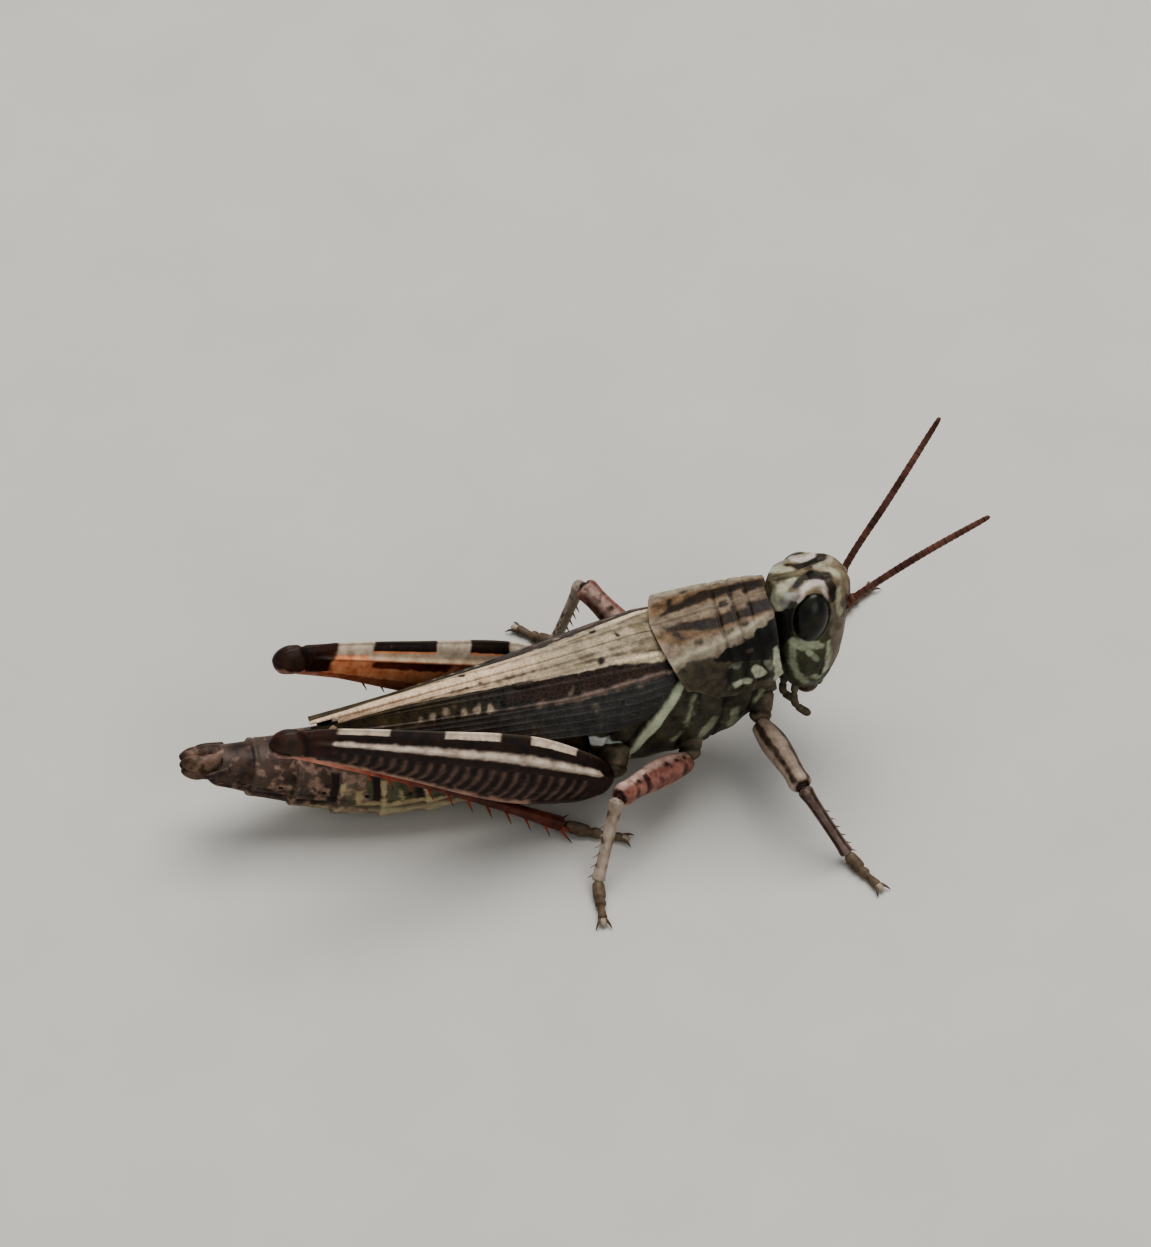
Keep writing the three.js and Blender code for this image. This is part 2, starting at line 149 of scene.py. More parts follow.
# Head capsule: one hard casque of cuticle, with a ridge down the face, a groove under each eye
# and three small simple eyes. It hangs upright from the neck in front of the saddle.
LEFTWARD, FORWARD = np.array([0, 1.0, 0]), np.array([1.0, 0, 0])
EYE_SIZE = np.array([0.7, 0.58, 1.1])  # half length, thickness and height
EYE_TURN = (0.28, 0.26, -0.12)  # the eye leans forward at the top
EYE_SEAT = LEFT_EYE + [-0.08, 0, 0.16]  # the lenses stand a little behind and above the middle


def through(*points):
    """A smooth curve through (where, value) pairs, as a function of an array."""
    where, value = np.array(points, float).T
    count = len(where)
    before = np.maximum(np.arange(count) - 1, 0)
    after = np.minimum(np.arange(count) + 1, count - 1)
    slope = (value[after] - value[before]) / (where[after] - where[before])

    def curve(t):
        t = np.clip(t, where[0], where[-1])
        i = np.clip(np.searchsorted(where, t) - 1, 0, count - 2)
        span = where[i + 1] - where[i]
        s = (t - where[i]) / span
        bend = s * (1 - s) * span * ((1 - s) * slope[i] - s * slope[i + 1])
        return value[i] + (value[i + 1] - value[i]) * s * s * (3 - 2 * s) + bend

    return curve


BLUNT = 0.03  # the square of how full a rounded end still is where it closes


def dome(t, start, end):
    """How full a shape is near its rounded ends: 1 in the middle, falling as a quarter circle."""
    reach = np.maximum(0, np.maximum(1 - t / start, 1 - (1 - t) / end))
    return np.sqrt(np.maximum(BLUNT, 1 - reach * reach))


def unit(vectors):
    return vectors / np.linalg.norm(vectors, axis=-1, keepdims=True)


ROUTE_STEPS = 80  # from one stop of a route to the next


def smooth_route(stops):
    """A smooth line through its stops, giving points and headings at even steps of its length."""
    stops = np.array(stops, float)
    ends = np.vstack([2 * stops[0] - stops[1], stops, 2 * stops[-1] - stops[-2]])
    s = np.linspace(0, 1, ROUTE_STEPS, endpoint=False)[:, None]
    pieces = []
    for a, b, c, d in zip(ends, ends[1:], ends[2:], ends[3:]):
        first, middle, last = (np.linalg.norm(q - p) ** 0.5 for p, q in ((a, b), (b, c), (c, d)))
        leave = (b - a) / first - (c - a) / (first + middle) + (c - b) / middle
        arrive = (c - b) / middle - (d - b) / (middle + last) + (d - c) / last
        pieces.append(
            b * (2 * s**3 - 3 * s**2 + 1)
            + leave * middle * (s**3 - 2 * s**2 + s)
            + c * (3 * s**2 - 2 * s**3)
            + arrive * middle * (s**3 - s**2)
        )
    line = np.vstack([*pieces, stops[-1]])
    length = np.concatenate([[0], np.cumsum(np.linalg.norm(np.diff(line, axis=0), axis=1))])
    length /= length[-1]
    heading = np.gradient(line, length, axis=0)

    def along(t):
        point, way = (
            np.stack([np.interp(t, length, values[:, k]) for k in range(3)], -1)
            for values in (line, heading)
        )
        return point, unit(way)

    return along


def how_far(v):
    """How far along its route a grid line lies: the lines are closest together at the ends."""
    return (1 - np.cos(np.pi * v)) / 2


def boxy(side, rise, square):
    """Moves points of a circle out onto a boxier outline, by the squareness of its upper and its
    lower half, where 1 leaves them on the circle."""
    power = 2 / np.where(rise > 0, *square)
    reach = (np.abs(side) ** power + np.abs(rise) ** power) ** (-1 / power)
    return side * reach, rise * reach


def tube(stops, across, half, over, under=None, square=(1, 1), ends=None, slant=None):
    """The surface of a tube along a route. Its section reaches half to each side, over above and
    under below, each a number or a curve, and is drawn in at its two rounded ends. A squareness
    under 1 makes the section above or below boxy, and slant slides a point along the route."""
    route = smooth_route(stops)

    def surface(around, along):
        t = how_far(along)
        side, rise = boxy(np.sin(2 * np.pi * around), -np.cos(2 * np.pi * around), square)
        close = dome(t, *ends) if ends else 1
        wide, tall, deep = (
            (size(t) if callable(size) else size) * close for size in (half, over, under or over)
        )
        point, way = route(t)
        up = unit(np.cross(way, across))
        out = unit(np.cross(up, way))
        lift = np.where(rise > 0, tall, deep)
        point = point + out * (side * wide)[..., None] + up * (rise * lift)[..., None]
        if slant:
            point = point + way * slant(t, side, rise)[..., None]
        return point

    return surface


def store(piece, name, values):
    """Keeps one number for each vertex, for the materials to read."""
    layer = piece.data.attributes.new(name, "FLOAT", "POINT")
    layer.data.foreach_set("value", np.ravel(values).astype(np.float32))


def tidy_skin(piece):
    """Closes the seam and poles of a mesh, turns its faces outwards and shades it smooth."""
    bpy.ops.object.select_all(action="DESELECT")
    bpy.context.view_layer.objects.active = piece
    piece.select_set(True)
    bpy.ops.object.mode_set(mode="EDIT")
    bpy.ops.mesh.select_all(action="SELECT")
    bpy.ops.mesh.remove_doubles(threshold=1e-6)
    bpy.ops.mesh.normals_make_consistent(inside=False)
    bpy.ops.object.mode_set(mode="OBJECT")
    bpy.ops.object.shade_smooth()


# Painted shade darkens the colour in the relief's grooves and a painted highlight lightens it on
# its ridges; these are the depth and height that take the whole of each.
FULLEST_CREASE, FULLEST_CREST = 0.07, 0.09  # mm of relief that take the whole tint


def cast(name, around, along, surface, relief=None, marks=None, closed=True):
    """Moves a grid's vertices onto surface(around, along) and raises relief on it, in mm. A closed
    piece wraps round and its ends are drawn in to a point. The patterns of the marks, from 0 to
    1, are kept for the materials: marks is a function that gives them all, or has each as its
    last item or its only one, as a function or a number."""
    bpy.ops.object.select_all(action="DESELECT")
    bpy.ops.mesh.primitive_grid_add(x_subdivisions=around, y_subdivisions=along, size=1)
    piece = bpy.context.object
    piece.name = piece.data.name = name
    grid = np.empty(len(piece.data.vertices) * 3)
    piece.data.vertices.foreach_get("co", grid)
    grid = grid.reshape(along + 1, around + 1, 3)
    u, v = grid[..., 0] + 0.5, grid[..., 1] + 0.5
    if closed:
        v = np.clip((v * along - 1) / (along - 2), 0, 1)
    points = base = surface(u, v)
    raised = np.zeros(u.shape)
    if relief:
        if closed:
            wrapped = np.concatenate([base[:, -2:-1], base, base[:, 1:2]], axis=1)
            crosswise = (wrapped[:, 2:] - wrapped[:, :-2]) / 2
        else:
            crosswise = np.gradient(base, axis=1)
        normal = np.cross(crosswise, np.gradient(base, axis=0))
        normal /= np.maximum(np.linalg.norm(normal, axis=-1, keepdims=True), 1e-12)
        heart = base.mean(axis=1, keepdims=True) if closed else base.mean(axis=(0, 1))
        if np.sum(normal * (base - heart)) < 0:
            normal = -normal
        raised = relief(u, v, base)
        points = base + normal * raised[..., None]
    if closed:
        points = points.copy()
        points[0], points[-1] = points[0].mean(axis=0), points[-1].mean(axis=0)
    piece.data.vertices.foreach_set("co", (under_shoulders + points * MM).ravel())
    # How deep in a groove and how high on a ridge each vertex lies, for the painted shade and the
    # painted highlight.
    store(piece, "crease", np.clip(-raised / FULLEST_CREASE, 0, 1))
    store(piece, "crest", np.clip(raised / FULLEST_CREST, 0, 1))
    marks = marks(u, v, base) if callable(marks) else marks or {}
    for mark, pattern in marks.items():
        pattern = pattern[-1] if isinstance(pattern, tuple) else pattern
        store(piece, mark, pattern(u, v, base) if callable(pattern) else pattern + 0 * u)
    piece.data.update()
    tidy_skin(piece)
    return piece


MARK_EDGE = 0.4  # mm over which a mark's number runs from 0 to 1, with its outline at a half
SIDE_ON, FROM_ABOVE = 1, 2  # the axis left out when a line is laid square on
OUTSIDE = -9.0  # mm, further outside a mark than any point of the animal


def fade(reach, over):
    """0 before a line, rising to 1 over so many mm past it."""
    return np.clip(reach / over, 0, 1)


def edge(inside, over=MARK_EDGE):
    """A mark's number across its outline: a half on it, and 1 well inside."""
    return np.clip(0.5 + inside / over, 0, 1)


def below(height, over):
    """A mark on all that is lower than a height."""
    return lambda u, v, p: edge(height - p[..., 2], over)


def within(points, line, view=None):
    """How far inside a brush stroke each point lies, in mm, the same on both sides of the animal.
    A line has stops of x, y, z and half width, without the axis that a view leaves out."""
    points = points * [1, 0, 1] + np.abs(points) * [0, 1, 0]
    points = points if view is None else np.delete(points, view, -1)
    line = np.array([*line, line[-1]], float)
    inside = np.full(points.shape[:-1], OUTSIDE)
    for a, b in zip(line, line[1:]):
        span = b[:-1] - a[:-1]
        t = np.clip((points - a[:-1]) @ span / max(span @ span, 1e-9), 0, 1)
        gap = np.linalg.norm(points - a[:-1] - t[..., None] * span, axis=-1)
        inside = np.maximum(inside, a[-1] + (b[-1] - a[-1]) * t - gap)
    return inside


def strokes(*lines, view=None):
    """A mark made of several brush strokes."""
    return lambda u, v, p: edge(np.max([within(p, line, view) for line in lines], axis=0))


def gap_to(points, *stops, view=None):
    """Distance in mm from a line through stops."""
    return -within(points, [(*stop, 0.0) for stop in stops], view)


def ridge(distance, width):
    """A rounded ridge's height, 1 on its crest, at a distance from its line."""
    return np.exp(-((distance / width) ** 2))


GRAIN, MOTTLE = 0.13, 0.42  # mm, the fine and the coarse unevenness of all the cuticle
GRAIN_FRAY, MOTTLE_FRAY, FRAY_LEVEL = 0.5, 2.8, -1.65  # how each frays an outline
PIT_DEPTH, VEIN_RISE = 0.03, 1.6  # mm, and a small vein's height over a pit's
SUM = {"operation": "MULTIPLY_ADD"}  # for a Math node: socket 0 times socket 1, plus socket 2
# Painted shade multiplied into the grooves of the relief and painted highlight screened onto its
# ridges: attribute, blend, strength and colour.
RELIEF_SHADE_AND_HIGHLIGHT = [("crease", "MULTIPLY", 0.62, "#2a2219"), ("crest", "SCREEN", 0.16, "#8d8472")]


def cuticle(
    name, ground, cloud_mm, marks=None, net=None, pit_mm=0.16, pits=0.35, roughness=0.46
):
    """Hard insect cuticle: tanned chitin with a thin wax layer, so a low even gloss over fine
    pits. ground is its two clouded tones. Each mark is an attribute with its two tones, how
    ragged its outline is and how soft. A net of small veins is its tone and its cells each way."""
    finish, tree, place = new_finish(name)
    noises = [(cloud_mm, 5.0, 0.62), (GRAIN, 3.0, 0.6), (MOTTLE, 1.5, 0.5)]
    noises = [
        {"Vector": place, "Scale": 1 / (size * MM), "Detail": detail, "Roughness": rough}
        for size, detail, rough in noises
    ]
    cloud, grain, mottle = (add_node(tree, "TexNoise", noise) for noise in noises)
    cloud = add_node(tree, "MapRange", {"Value": cloud, "From Min": 0.36, "From Max": 0.64})
    fray = {0: grain, 1: GRAIN_FRAY, 2: FRAY_LEVEL}
    fray = {0: mottle, 1: MOTTLE_FRAY, 2: add_node(tree, "Math", fray, **SUM)}
    fray = add_node(tree, "Math", fray, **SUM)
    dark, light = ground
    colour = add_node(tree, "Mix", {0: cloud, 6: linear(dark), 7: linear(light)}, **COLOURS)
    for attribute, (dark, light, ragged, soft, *_) in (marks or {}).items():
        value = add_node(tree, "Attribute", {}, "Fac", attribute_name=attribute)
        worn = add_node(tree, "Math", {0: fray, 1: ragged, 2: value}, **SUM)
        outline = {"Value": worn, "From Min": 0.5 - soft, "From Max": 0.5 + soft}
        mask = add_node(tree, "MapRange", outline, interpolation_type="SMOOTHSTEP")
        tones = add_node(tree, "Mix", {0: cloud, 6: linear(dark), 7: linear(light)}, **COLOURS)
        colour = add_node(tree, "Mix", {0: mask, 6: colour, 7: tones}, **COLOURS)
    # Painted shade in the grooves and painted highlight on the ridges of the relief.
    for attribute, mode, amount, tint in RELIEF_SHADE_AND_HIGHLIGHT:
        value = add_node(tree, "Attribute", {}, "Fac", attribute_name=attribute)
        strength = add_node(tree, "Math", {0: value, 1: amount}, operation="MULTIPLY")
        tinted = {0: strength, 6: colour, 7: linear(tint)}
        colour = add_node(tree, "Mix", tinted, blend_type=mode, **COLOURS)
    gloss = {"Value": grain, "To Min": roughness - 0.1, "To Max": roughness + 0.14}
    gloss = add_node(tree, "MapRange", gloss)
    pit = {"Vector": place, "Scale": 1 / (pit_mm * MM)}
    pit = add_node(tree, "TexVoronoi", pit, "Distance")
    height = add_node(tree, "Mix", {0: 0.4, 2: pit, 3: grain}, data_type="FLOAT")
    if net:
        tone, cells = net
        flat = add_node(tree, "UVMap", {}, uv_map="UVMap")
        flat = add_node(tree, "Mapping", {"Vector": flat, "Scale": cells})
        cell = {"feature": "DISTANCE_TO_EDGE", "voronoi_dimensions": "2D"}
        away = add_node(tree, "TexVoronoi", {"Vector": flat, "Scale": 1.0}, "Distance", **cell)
        vein = {"Value": away, "From Min": 0.03, "From Max": 0.16, "To Min": 0.3, "To Max": 0.0}
        veins = add_node(tree, "MapRange", vein, interpolation_type="SMOOTHSTEP")
        colour = add_node(tree, "Mix", {0: veins, 6: colour, 7: linear(tone)}, **COLOURS)
        height = add_node(tree, "Math", {0: veins, 1: VEIN_RISE, 2: height}, **SUM)
    bump = {"Strength": pits, "Distance": PIT_DEPTH * MM, "Height": height}
    bump = add_node(tree, "Bump", bump)
    shell = {"Base Color": colour, "Roughness": gloss, "IOR": 1.55, "Specular IOR Level": 0.2}
    shell = add_node(tree, "BsdfPrincipled", {**shell, "Normal": bump})
    add_node(tree, "OutputMaterial", {0: shell})
    return finish


def fit(piece, finish, slot, *nodes):
    """Gives a piece its finish and sets it in the frame in place of the solids it stands for."""
    piece.data.materials.clear()
    piece.data.materials.append(finish)
    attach(piece, "root")
    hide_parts(*nodes)


head_width = through((0, 1.05), (0.12, 1.2), (0.33, 1.5), (0.62, 1.82), (0.86, 1.6), (1, 1.25))
head_face = through((0, 1.25), (0.12, 1.68), (0.4, 1.62), (0.74, 1.38), (1, 1.15))
head_surface = tube(
    [(6.75, 0, 9.6), (6.75, 0, 6.6), (6.45, 0, 4.0)],
    LEFTWARD,
    half=lambda t: head_width(t) * dome(t, 0.06, 0.03),
    over=lambda t: head_face(t) * dome(t, 0.04, 0.03),
    under=through((0, 1.5), (0.3, 1.75), (0.6, 1.5), (1, 0.7)),
    square=(0.82, 0.82),
    slant=lambda t, side, rise: -0.18 * rise * (1 - t) ** 2,
)


def eye_reach(points):
    """Distance from the centre of the nearer eye, where 1 is its surface."""
    points = points * [1, 0, 1] + np.abs(points) * [0, 1, 0] - EYE_SEAT
    for axis, turn in ((2, -EYE_TURN[2]), (1, -EYE_TURN[1]), (0, -EYE_TURN[0])):
        i, j = [(1, 2), (2, 0), (0, 1)][axis]
        turned = points.copy()
        turned[..., i] = points[..., i] * math.cos(turn) - points[..., j] * math.sin(turn)
        turned[..., j] = points[..., i] * math.sin(turn) + points[..., j] * math.cos(turn)
        points = turned
    return np.linalg.norm(points / EYE_SIZE, axis=-1)


HEAD_LINES = [  # height in mm, width in mm and stops of each ridge, or of a groove if under 0
    (0.06, 0.1, (7.95, 1.15, 7.3), (7.8, 1.25, 5.9), (7.35, 1.25, 4.8)),  # beside the face
    (-0.07, 0.06, (7.25, 1.6, 6.95), (7.15, 1.75, 6.0), (6.95, 1.7, 5.0)),  # below the eye
    (0.05, 0.1, (5.4, 1.2, 8.0), (5.55, 1.5, 6.6), (5.7, 1.4, 5.0)),  # the cheek's rear edge
    (0.07, 0.14, (5.7, 0.9, 9.1), (6.4, 0.92, 9.3), (7.1, 0.86, 9.5), (7.6, 0.7, 9.5)),  # brow
    (0.06, 0.09, (7.4, 0.5, 9.65), (7.95, 0.45, 9.5), (8.15, 0.38, 9.2)),  # tip of the crown
]


def head_relief(u, v, p):
    x, y, z = p[..., 0], np.abs(p[..., 1]), p[..., 2]
    front = fade(x - 7.2, 0.4)
    eye = eye_reach(p)
    rim = 0.07 * ridge(eye - 1.12, 0.07) - 0.14 * fade(1.03 - eye, 0.12)
    face = front * fade(9.3 - z, 0.3) * fade(z - 5.0, 0.15)
    face = face * (0.09 * fade(0.42 - y, 0.1) - 0.05 * ridge(y, 0.13) * fade(z - 5.8, 1))
    socket = gap_to(p, (8.0, 0.62, 7.9), (8.4, 0.62, 7.85))
    socket = 0.05 * ridge(socket - 0.4, 0.09) - 0.12 * ridge(socket, 0.25)
    lines = sum(tall * ridge(gap_to(p, *stops), wide) for tall, wide, *stops in HEAD_LINES)
    lip_grooves = -0.07 * front * (ridge(z - 5.0, 0.06) + ridge(z - 4.45, 0.05))
    crown_line = 0.04 * ridge(y, 0.06) * fade(z - 9.1, 0.2)
    return rim + face + socket + lines + lip_grooves + crown_line


# Cuticle of the face, olive and dark green with pale green patches, tan over the crown
head_marks = {
    "dull_patch": ("#73765f", "#91947e", 0.4, 0.25, strokes(
        [(5.9, 1.55, 6.9, 0.15), (5.93, 1.59, 6.4, 0.16), (5.97, 1.61, 5.88, 0.19),
         (6.14, 1.6, 5.23, 0.21)],
        [(6.14, 1.6, 5.23, 0.21), (6.5, 1.54, 4.65, 0.15)],
        [(6.85, 1.62, 5.15, 0.16), (7.0, 1.6, 4.95, 0.16)],
        [(6.72, 1.78, 6.37, 0.09), (6.85, 1.76, 6.2, 0.08)],
        [(5.3, 0.95, 6.9, 0.08), (5.4, 1.0, 6.0, 0.1), (5.6, 1.05, 5.2, 0.1)],
    )),
    "green_patch": ("#82866c", "#a9ab91", 0.3, 0.2, strokes(
        [(5.95, 1.5, 7.15, 0.25), (6.39, 1.6, 7.03, 0.28), (6.87, 1.68, 6.95, 0.2),
         (7.1, 1.66, 6.88, 0.13)],
        [(6.5, 1.7, 6.85, 0.12), (6.6, 1.74, 6.6, 0.12)],
        [(7.4, 1.6, 6.95, 0.12), (7.43, 1.67, 6.39, 0.19), (7.33, 1.67, 5.6, 0.19),
         (7.18, 1.62, 5.2, 0.12)],
    )),
    "face_front": ("#51483a", "#766c5b", 0.4, 0.3, lambda u, v, p: edge(
        p[..., 0] - 7.72 + 0.16 * np.abs(p[..., 1]), 0.3
    ) * fade(9.3 - p[..., 2], 0.3)),
    "face_bars": ("#1d150d", "#362818", 0.4, 0.2, strokes(
        [(8.2, 0.4, 9.4, 0.1), (8.17, 0.72, 9.0, 0.14), (8.28, 0.76, 8.1, 0.13),
         (8.3, 0.76, 7.6, 0.09)],
        [(8.1, 0.95, 7.2, 0.07), (7.95, 1.08, 6.4, 0.1), (7.7, 1.2, 5.6, 0.08)],
        [(8.25, 0.35, 5.9, 0.12), (8.0, 0.5, 5.3, 0.16)],
    )),
    "crown": ("#5e503c", "#86775d", 0.4, 0.3, lambda u, v, p: edge(
        p[..., 2] - 8.9 - 0.3 * (7.2 - p[..., 0]), 0.5
    )),
    "nape": ("#30281a", "#544830", 0.4, 0.3, strokes(
        [(5.1, 0, 8.7, 0.2), (5.3, 0.05, 9.1, 0.2), (5.6, 0.05, 9.4, 0.14),
         (6.2, 0.04, 9.53, 0.17)],
        [(6.2, 0.04, 9.53, 0.17), (6.7, 0.04, 9.62, 0.08)],
    )),
    "temple": ("#8b876f", "#b3af97", 0.25, 0.3, strokes(
        [(5.35, 0.85, 8.35, 0.3), (5.42, 0.68, 8.85, 0.32), (5.62, 0.58, 9.3, 0.25)],
        [(5.62, 0.58, 9.3, 0.25), (5.95, 0.4, 9.46, 0.18), (6.2, 0.28, 9.52, 0.12)],
    )),
    "grey_temple": ("#77746a", "#95928a", 0.4, 0.25, strokes(
        [(5.6, 0.93, 8.9, 0.16), (5.85, 0.86, 9.15, 0.22), (6.15, 0.92, 9.25, 0.15)],
    )),
    "brow": ("#9d9187", "#c3b8ae", 0.2, 0.22, strokes(
        [(6.29, 1.1, 9.12, 0.1), (6.47, 0.83, 9.4, 0.15), (6.84, 0.65, 9.53, 0.18)],
        [(6.84, 0.65, 9.53, 0.18), (7.2, 0.71, 9.58, 0.17), (7.3, 1.0, 9.33, 0.14),
         (7.33, 1.08, 9.0, 0.1)],
    )),
    "pale_line": ("#7f7964", "#a39c84", 0.4, 0.2, strokes(
        [(7.22, 0.0, 9.75, 0.12), (7.8, 0.25, 9.66, 0.14), (7.97, 0.59, 9.45, 0.14),
         (7.87, 0.95, 9.15, 0.13)],
        [(7.87, 0.95, 9.15, 0.13), (7.83, 1.1, 8.6, 0.12), (7.9, 1.15, 8.0, 0.14)],
    )),
    "black_band": ("#070705", "#15130d", 0.4, 0.14, strokes(
        [(5.1, 1.15, 7.85, 0.4), (5.5, 1.15, 8.0, 0.5), (6.0, 1.2, 8.25, 0.52),
         (6.4, 1.3, 8.5, 0.5)],
        [(6.4, 1.3, 8.6, 0.4), (6.7, 1.1, 9.05, 0.3), (7.05, 1.0, 9.3, 0.14)],
        [(5.4, 1.1, 7.4, 0.3), (5.5, 1.22, 7.0, 0.2), (5.7, 1.35, 7.5, 0.2)],
    )),
    "brown_line": ("#130c05", "#2e200d", 0.25, 0.18, strokes(
        [(6.1, 0.62, 9.42, 0.08), (6.27, 0.55, 9.47, 0.12), (6.54, 0.32, 9.55, 0.15),
         (6.96, 0.29, 9.66, 0.18)],
        [(6.96, 0.29, 9.66, 0.18), (7.49, 0.51, 9.65, 0.2), (7.61, 0.9, 9.38, 0.22),
         (7.56, 1.06, 8.9, 0.16)],
    )),
}
face_cuticle = cuticle("olive_face_cuticle", ("#2a2b1c", "#45452f"), 0.5, head_marks)
head = cast("head_capsule", 220, 190, head_surface, head_relief, head_marks)
fit(head, face_cuticle, "cuticle_face", "head")

# Compound eyes: smooth ovals of thousands of tiny lenses, set in a rim of the head capsule. Three
# simple eyes are clear beads, one on the face ridge and one inside each great eye.
FACET = 0.045  # mm between lenses; the real 0.025 mm is too fine to show
BEADS = [  # place and radius
    ((8.44, 0.0, 7.3), 0.11),
    ((7.86, 0.86, 9.05), 0.09),
    ((7.86, -0.86, 9.05), 0.09),
]
SIDES = [("left", 1), ("right", -1)]


def eye_finish(name):
    """Lens cuticle: clear chitin over dark pigment, so a deep colour under a wet gloss."""
    finish, tree, place = new_finish(name)
    cloud = add_node(tree, "TexNoise", {"Vector": place, "Scale": 1 / (0.7 * MM), "Detail": 3.0})
    cloud = add_node(tree, "MapRange", {"Value": cloud, "From Min": 0.4, "From Max": 0.62})
    tone = add_node(tree, "Mix", {0: cloud, 6: linear("#0f0f0b"), 7: linear("#26261a")}, **COLOURS)
    lens = {"Vector": place, "Scale": 1 / (FACET * MM), "Randomness": 0.25}
    lens = add_node(tree, "TexVoronoi", lens, "Distance", feature="F1")
    bump = {"Strength": 0.35, "Distance": 0.01 * MM, "Height": lens}
    shell = {
        "Base Color": tone,
        "Roughness": 0.3,
        "IOR": 1.5,
        "Specular IOR Level": 0.25,
        "Coat Weight": 0.12,
        "Coat Roughness": 0.08,
        "Normal": add_node(tree, "Bump", bump, invert=True),
    }
    add_node(tree, "OutputMaterial", {0: add_node(tree, "BsdfPrincipled", shell)})
    return finish


def join(pieces, name):
    """Makes one piece of several."""
    bpy.ops.object.select_all(action="DESELECT")
    for piece in pieces:
        piece.select_set(True)
    bpy.context.view_layer.objects.active = pieces[0]
    bpy.ops.object.join()
    pieces[0].name = pieces[0].data.name = name
    return pieces[0]


eye_lenses = eye_finish("compound_eye_lenses")
for name, side in SIDES:
    centre = under_shoulders + EYE_SEAT * [1, side, 1] * MM
    bpy.ops.object.select_all(action="DESELECT")
    bpy.ops.mesh.primitive_uv_sphere_add(segments=72, ring_count=48, radius=1, location=centre)
    eye = bpy.context.object
    eye.name = eye.data.name = "compound_eye_" + name
    eye.scale = EYE_SIZE * MM
    eye.rotation_euler = (EYE_TURN[0] * side, EYE_TURN[1], EYE_TURN[2] * side)
    bpy.ops.object.transform_apply(location=True, rotation=True, scale=True)
    bpy.ops.object.shade_smooth()
    fit(eye, eye_lenses, "compound_eye", "eye_" + name)

beads = []
for centre, radius in BEADS:
    centre = under_shoulders + np.array(centre) * MM
    bpy.ops.mesh.primitive_uv_sphere_add(
        segments=20, ring_count=12, radius=radius * MM, location=centre
    )
    bpy.ops.object.transform_apply(location=True, rotation=True, scale=True)
    bpy.ops.object.shade_smooth()
    beads.append(bpy.context.object)
fit(join(beads, "simple_eyes"), eye_finish("simple_eye_lens"), "compound_eye")

# Feelers: a thick root joint, a short second joint and a thread of about two dozen rings of thin
# reddish cuticle, each a little wider at its far end.
FEELER_RINGS, FEELER_THREAD = 25, 0.9  # rings, in this much of the feeler's length
FEELER_ROUTES = {
    "left": [(8.15, 0.6, 7.85), (9.0, 1.0, 9.2), (10.5, 1.7, 11.1), (12.9, 3.0, 14.1)],
    "right": [(8.15, -0.6, 7.85), (9.3, -0.8, 9.0), (11.2, -1.1, 10.7), (13.9, -1.5, 12.8)],
}
feeler_girth = through(
    *((0, 0.25), (0.05, 0.26), (0.062, 0.2), (0.09, 0.2), (0.1, 0.15), (0.5, 0.145)),
    *((0.9, 0.12), (1, 0.09)),
)


def on_ring(t):
    """How far along its ring a place on the feeler lies, from 0 to 1."""
    return np.mod(t * FEELER_RINGS / FEELER_THREAD, 1)


def ringed(t):
    ring = on_ring(t)
    swell = 0.1 * ring**2 - 0.12 * ridge(ring - 0.98, 0.07) - 0.12 * ridge(ring - 0.02, 0.07)
    return feeler_girth(t) * dome(t, 0.02, 0.02) * (1 + np.where(t > 0.1, swell, 0))


# Feeler cuticle, thin and reddish, duller than the body's, with a dark end to each ring
feeler_marks = {
    "ring_end": ("#2c1510", "#40211a", 0.2, 0.3, lambda u, v, p: on_ring(how_far(v)) ** 4)
}
feeler_cuticle = cuticle(
    "reddish_feeler_cuticle", ("#472a20", "#6f4a3c"), 1.2, feeler_marks, pit_mm=0.08, roughness=0.5
)
for name, route in FEELER_ROUTES.items():
    thread = tube(route, LEFTWARD, ringed, ringed)
    feeler = cast("feeler_" + name, 14, 300, thread, marks=feeler_marks)
    fit(feeler, feeler_cuticle, "cuticle_feeler", "antenna_" + name)

# Mouthparts: a notched upper lip, two horny jaws with dark cutting edges, and two pairs of
# jointed palps of softer, paler cuticle, hung under the head.


def lip_relief(u, v, p):
    notch = ridge(p[..., 1], 0.12) * fade(3.65 - p[..., 2], 0.4)
    return 0.05 * ridge(np.abs(p[..., 1]) - 0.45, 0.2) - 0.12 * notch


def palp_girth(t):
    joints = ridge(t - 0.3, 0.035) + ridge(t - 0.62, 0.035)
    return 0.16 * dome(t, 0.08, 0.14) * (1 - 0.32 * joints + 0.12 * np.clip(t - 0.7, 0, 1) / 0.3)


lip_surface = tube(
    [(7.35, 0, 4.35), (7.3, 0, 3.7), (7.1, 0, 3.25)],
    LEFTWARD,
    half=through((0, 0.8), (0.5, 0.86), (0.85, 0.7), (1, 0.45)),
    over=0.2,
    ends=(0.1, 0.3),
)
upper_lip = cast("upper_lip", 72, 40, lip_surface, lip_relief, {"dull_patch": 0.5})
fit(upper_lip, face_cuticle, "cuticle_face", "labrum")

# Jaw horn, the hardest cuticle, brown and shiny with black edges
jaw_marks = {"cutting_edge": ("#0e0a07", "#1c140d", 0.2, 0.2, below(3.5, MARK_EDGE))}
jaw_horn = cuticle("dark_jaw_horn", ("#3a2a1c", "#574330"), 0.4, jaw_marks, roughness=0.34)
